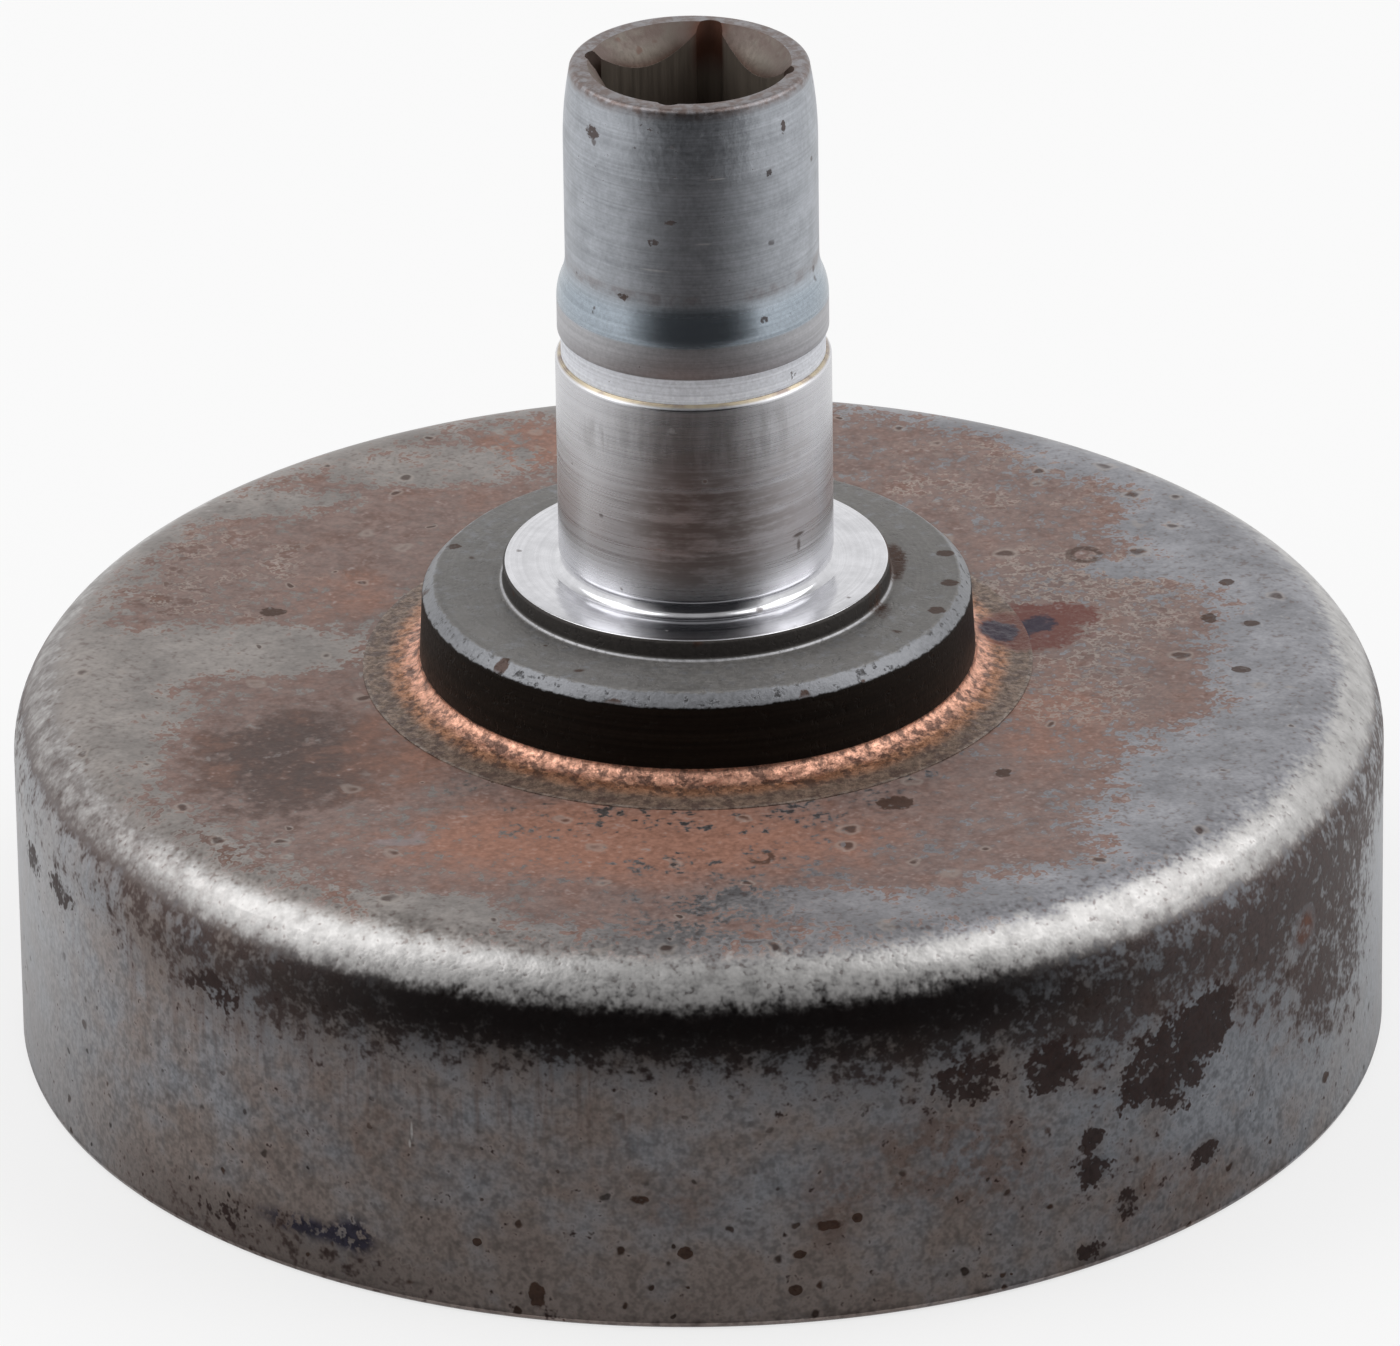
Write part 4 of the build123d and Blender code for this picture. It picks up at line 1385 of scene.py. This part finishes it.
class DRUM_OT_braze(bpy.types.Operator):
    """Model the copper that has run round the hub's flange and through the joint."""

    bl_idname = "drum.braze"
    bl_label = "Copper braze"

    def execute(self, context):
        sizes = context.scene.drum_braze_sizes
        hub = context.scene.drum_hub_sizes
        cup = context.scene.drum_cup_sizes
        web = cup.height
        inner_web = web - cup.sheet
        spigot = hub.spigot_diameter / 2
        hole = cup.hole_diameter / 2
        flange = hub.flange_diameter / 2
        slope = tan(hub.flange_draft)
        foot = flange + (hub.flange_thickness - hub.flange_chamfer) * slope
        rise = web + sizes.height
        side = foot - (rise - hub.flange_seat) * slope
        reach = side + sizes.width
        low = inner_web - sizes.inner_height
        inner_reach = hole + sizes.inner_width
        corners = [(spigot, low), (spigot, hub.flange_seat), (foot, hub.flange_seat), (side, rise)]
        start = side + sizes.feather
        for turn in quarter_turn(24):
            corners.append((
                reach - (reach - start) * cos(turn),
                rise - (sizes.height - sizes.feather) * sin(turn),
            ))
        corners += [(reach, web), (hole, web), (hole, inner_web), (inner_reach, inner_web)]
        for turn in quarter_turn(8):
            corners.append((
                inner_reach - sizes.inner_width * sin(turn),
                low + (sizes.inner_height - sizes.feather) * cos(turn),
            ))
        braze = draw_outline("BrazeRing", corners)
        turn_outline(braze, 720)
        self.roughen(braze, sizes, side, reach, web)
        smooth_faces(braze, 60)
        coat_faces(braze, make_braze_copper(context.scene.drum_finish), everywhere)
        hand_over(braze, "braze_ring")
        return {"FINISHED"}

    def roughen(self, braze, sizes, side, reach, web):
        """Raise lumps on the open meniscus."""
        select_only(braze)
        open_part = braze.vertex_groups.new(name="Meniscus")
        for vertex in braze.data.vertices:
            radius = hypot(vertex.co.x, vertex.co.y)
            share = min(1.0, max(0.0, (reach - radius) / (reach - side) * 2.0))
            share *= min(1.0, max(0.0, (radius - side) / sizes.calm_edge))
            if vertex.co.z > web + sizes.feather / 2 and share > 0:
                open_part.add([vertex.index], share, "REPLACE")
        for name, size in (("Run copper", sizes.run_size), ("Copper beads", sizes.bead_size)):
            clouds = bpy.data.textures.new(name, "CLOUDS")
            clouds.noise_scale = size
            clouds.noise_depth = 2
            lumps = braze.modifiers.new(name, "DISPLACE")
            lumps.texture = clouds
            lumps.texture_coords = "LOCAL"
            lumps.strength = sizes.lumps
            lumps.mid_level = 0.45
            lumps.vertex_group = open_part.name
            bpy.ops.object.modifier_apply(modifier=lumps.name)
            bpy.data.textures.remove(clouds)


class DRUM_OT_stage(bpy.types.Operator):
    """Set up the pale floor, the soft lights, the dark card and the camera."""

    bl_idname = "drum.stage"
    bl_label = "Photo stage"

    def execute(self, context):
        sizes = context.scene.drum_stage
        context.scene.view_settings.view_transform = "Standard"
        self.lay_floor(sizes)
        # Painted shade seen only in the steel: a round sheet for the darker floor in front of the drum
        clear_selection()
        bpy.ops.mesh.primitive_circle_add(
            vertices=96, radius=sizes.floor_shade_radius, fill_type="NGON", location=(0, 0, sizes.sheet_lift)
        )
        self.only_in_reflections("FloorShadeSheet", sizes.floor_shade_tint, sizes.floor_tint, 24, 112)
        # Painted shade seen only in the steel: a leaning dark card for the unlit room on the camera's side
        clear_selection()
        bpy.ops.mesh.primitive_plane_add(size=2)
        card = bpy.context.active_object
        foot = (sizes.card_foot_half, sizes.card_foot_away, sizes.sheet_lift)
        top = (sizes.card_top_half, sizes.card_top_away, sizes.card_top_height)
        for vertex in card.data.vertices:
            half, away, up = foot if vertex.co.y < 0 else top
            vertex.co = self.from_front(sizes, half * vertex.co.x, -away, up)
        self.only_in_reflections("DarkCard", sizes.card_tint, sizes.floor_tint, 26, 75)
        self.light_world(context.scene, sizes)
        self.hang_lights(sizes)
        self.place_camera(context.scene, sizes)
        return {"FINISHED"}

    def from_front(self, sizes, x, y, z):
        """A place given as right, away and up from the camera's side."""
        return Matrix.Rotation(sizes.camera_azimuth, 3, "Z") @ Vector((x, y, z))

    def lay_floor(self, sizes):
        """A wide pale floor that shows nearly white and keeps a soft shadow."""
        clear_selection()
        bpy.ops.mesh.primitive_plane_add(size=sizes.floor_size)
        floor = bpy.context.active_object
        floor.name = "Floor"
        material, g, shader = start_material("Pale floor")[:3]
        g.fill(shader, Base_Color=sizes.floor_tint, Roughness=0.9, Specular_IOR_Level=0.0)
        path = g.node("ShaderNodeLightPath").outputs
        seen = g.most(path["Is Camera Ray"], path["Is Glossy Ray"])
        white = g.node("ShaderNodeEmission", None, Color=(1, 1, 1), Strength=1.0)
        share = g.times(seen, sizes.floor_white)
        lit = g.node("ShaderNodeMixShader", None, Fac=share)
        g.join(shader.outputs[0], lit.inputs[1])
        g.join(white.outputs[0], lit.inputs[2])
        g.join(lit.outputs[0], material.node_tree.nodes["Material Output"].inputs["Surface"])
        floor.data.materials.append(material)

    def only_in_reflections(self, name, tint, side_tint, start, end):
        """Finish the active sheet, the floor's shade sheet and the dark card alike, as painted shade that
        shows only in the steel, paler towards its sides.
        """
        sheet = bpy.context.active_object
        sheet.name = name
        material, g, shader, position = start_material(name)
        off_centre = g.math("ABSOLUTE", g.minus(find_turn(g, position), radians(DARKEST_TURN)))
        fade = g.rise(off_centre, radians(start), radians(end))
        colour = g.mix(fade, tint, side_tint)
        g.fill(shader, Base_Color=colour, Roughness=0.9, Specular_IOR_Level=0.0)
        sheet.data.materials.append(material)
        sheet.visible_camera = False
        sheet.visible_diffuse = False
        sheet.visible_shadow = False

    def light_world(self, scene, sizes):
        """White surroundings for the eye and for reflections, softer light on matt surfaces."""
        world = bpy.data.worlds.new("White room")
        scene.world = world
        world.use_nodes = True
        g = Graph(world.node_tree)
        world.node_tree.nodes.clear()
        path = g.node("ShaderNodeLightPath").outputs
        seen = g.most(path["Is Camera Ray"], path["Is Glossy Ray"])
        seen = g.most(seen, path["Is Transmission Ray"])
        way = g.node("ShaderNodeTexCoord").outputs["Generated"]
        up = g.node("ShaderNodeSeparateXYZ", None, Vector=way).outputs["Z"]
        strength = g.blend(seen, sizes.fill, g.rise(up, 0.45, 0.85, 1.0, sizes.ceiling))
        room = g.node("ShaderNodeBackground", None, Color=(1, 1, 1), Strength=strength)
        g.join(room.outputs[0], g.node("ShaderNodeOutputWorld").inputs["Surface"])

    def hang_lights(self, sizes):
        """A large soft light high on each side."""
        for name, place in SIDE_LIGHTS:
            clear_selection()
            bpy.ops.object.light_add(type="AREA", location=self.from_front(sizes, *place))
            lamp = bpy.context.active_object
            lamp.name = name
            lamp.data.shape = "RECTANGLE"
            lamp.data.size = sizes.light_width
            lamp.data.size_y = sizes.light_length
            lamp.data.energy = sizes.side_light
            aim = Vector((0, 0, sizes.light_aim)) - lamp.location
            lamp.rotation_euler = aim.to_track_quat("-Z", "Y").to_euler()

    def place_camera(self, scene, sizes):
        """The camera of the photograph, fitted to the circles seen in it."""
        clear_selection()
        aim = self.from_front(sizes, sizes.aim_side, 0, sizes.aim_height)
        away = self.from_front(sizes, 0, -cos(sizes.camera_elevation), sin(sizes.camera_elevation))
        bpy.ops.object.camera_add(location=aim + away * sizes.camera_distance)
        camera = bpy.context.active_object
        camera.name = "PhotoCamera"
        facing = (-away).to_track_quat("-Z", "Y") @ Quaternion((0, 0, 1), sizes.camera_roll)
        camera.rotation_euler = facing.to_euler()
        camera.data.sensor_width = 36.0
        camera.data.sensor_fit = "HORIZONTAL"
        camera.data.lens = sizes.focal_length
        camera.data.clip_start = 0.01
        camera.data.clip_end = 20.0
        scene.camera = camera


class DRUM_PT_sidebar(bpy.types.Panel):
    """Lists the steps of the clutch drum and the values that they use."""

    bl_idname = "DRUM_PT_sidebar"
    bl_label = "Clutch Drum"
    bl_space_type = "VIEW_3D"
    bl_region_type = "UI"
    bl_category = "Drum"

    def draw(self, context):
        """Each step with its sizes, then the colours."""
        for operator, owner in STEPS:
            box = self.layout.box()
            box.operator(operator.bl_idname)
            values = getattr(context.scene, owner)
            for name in values.__annotations__:
                box.prop(values, name)
        box = self.layout.box()
        for name in context.scene.drum_finish.__annotations__:
            box.prop(context.scene.drum_finish, name)


STEPS = (
    (DRUM_OT_cup, "drum_cup_sizes"),
    (DRUM_OT_hub, "drum_hub_sizes"),
    (DRUM_OT_braze, "drum_braze_sizes"),
    (DRUM_OT_stage, "drum_stage"),
)
VALUES = {
    "drum_cup_sizes": CupSizes,
    "drum_hub_sizes": HubSizes,
    "drum_braze_sizes": BrazeSizes,
    "drum_finish": DrumFinish,
    "drum_stage": StageSizes,
}
CLASSES = (*VALUES.values(), *(operator for operator, owner in STEPS), DRUM_PT_sidebar)


def register():
    """Make the steps and their values known to Blender."""
    for item in CLASSES:
        bpy.utils.register_class(item)
    for owner, group in VALUES.items():
        setattr(bpy.types.Scene, owner, PointerProperty(type=group))


def unregister():
    """Take the steps and their values out again."""
    for owner in VALUES:
        delattr(bpy.types.Scene, owner)
    for item in reversed(CLASSES):
        bpy.utils.unregister_class(item)


def main():
    """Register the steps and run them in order."""
    register()
    make_effects()
    bpy.ops.drum.cup()
    bpy.ops.drum.hub()
    bpy.ops.drum.braze()
    bpy.ops.drum.stage()
    bpy.context.view_layer.update()


if __name__ == "__main__":
    main()
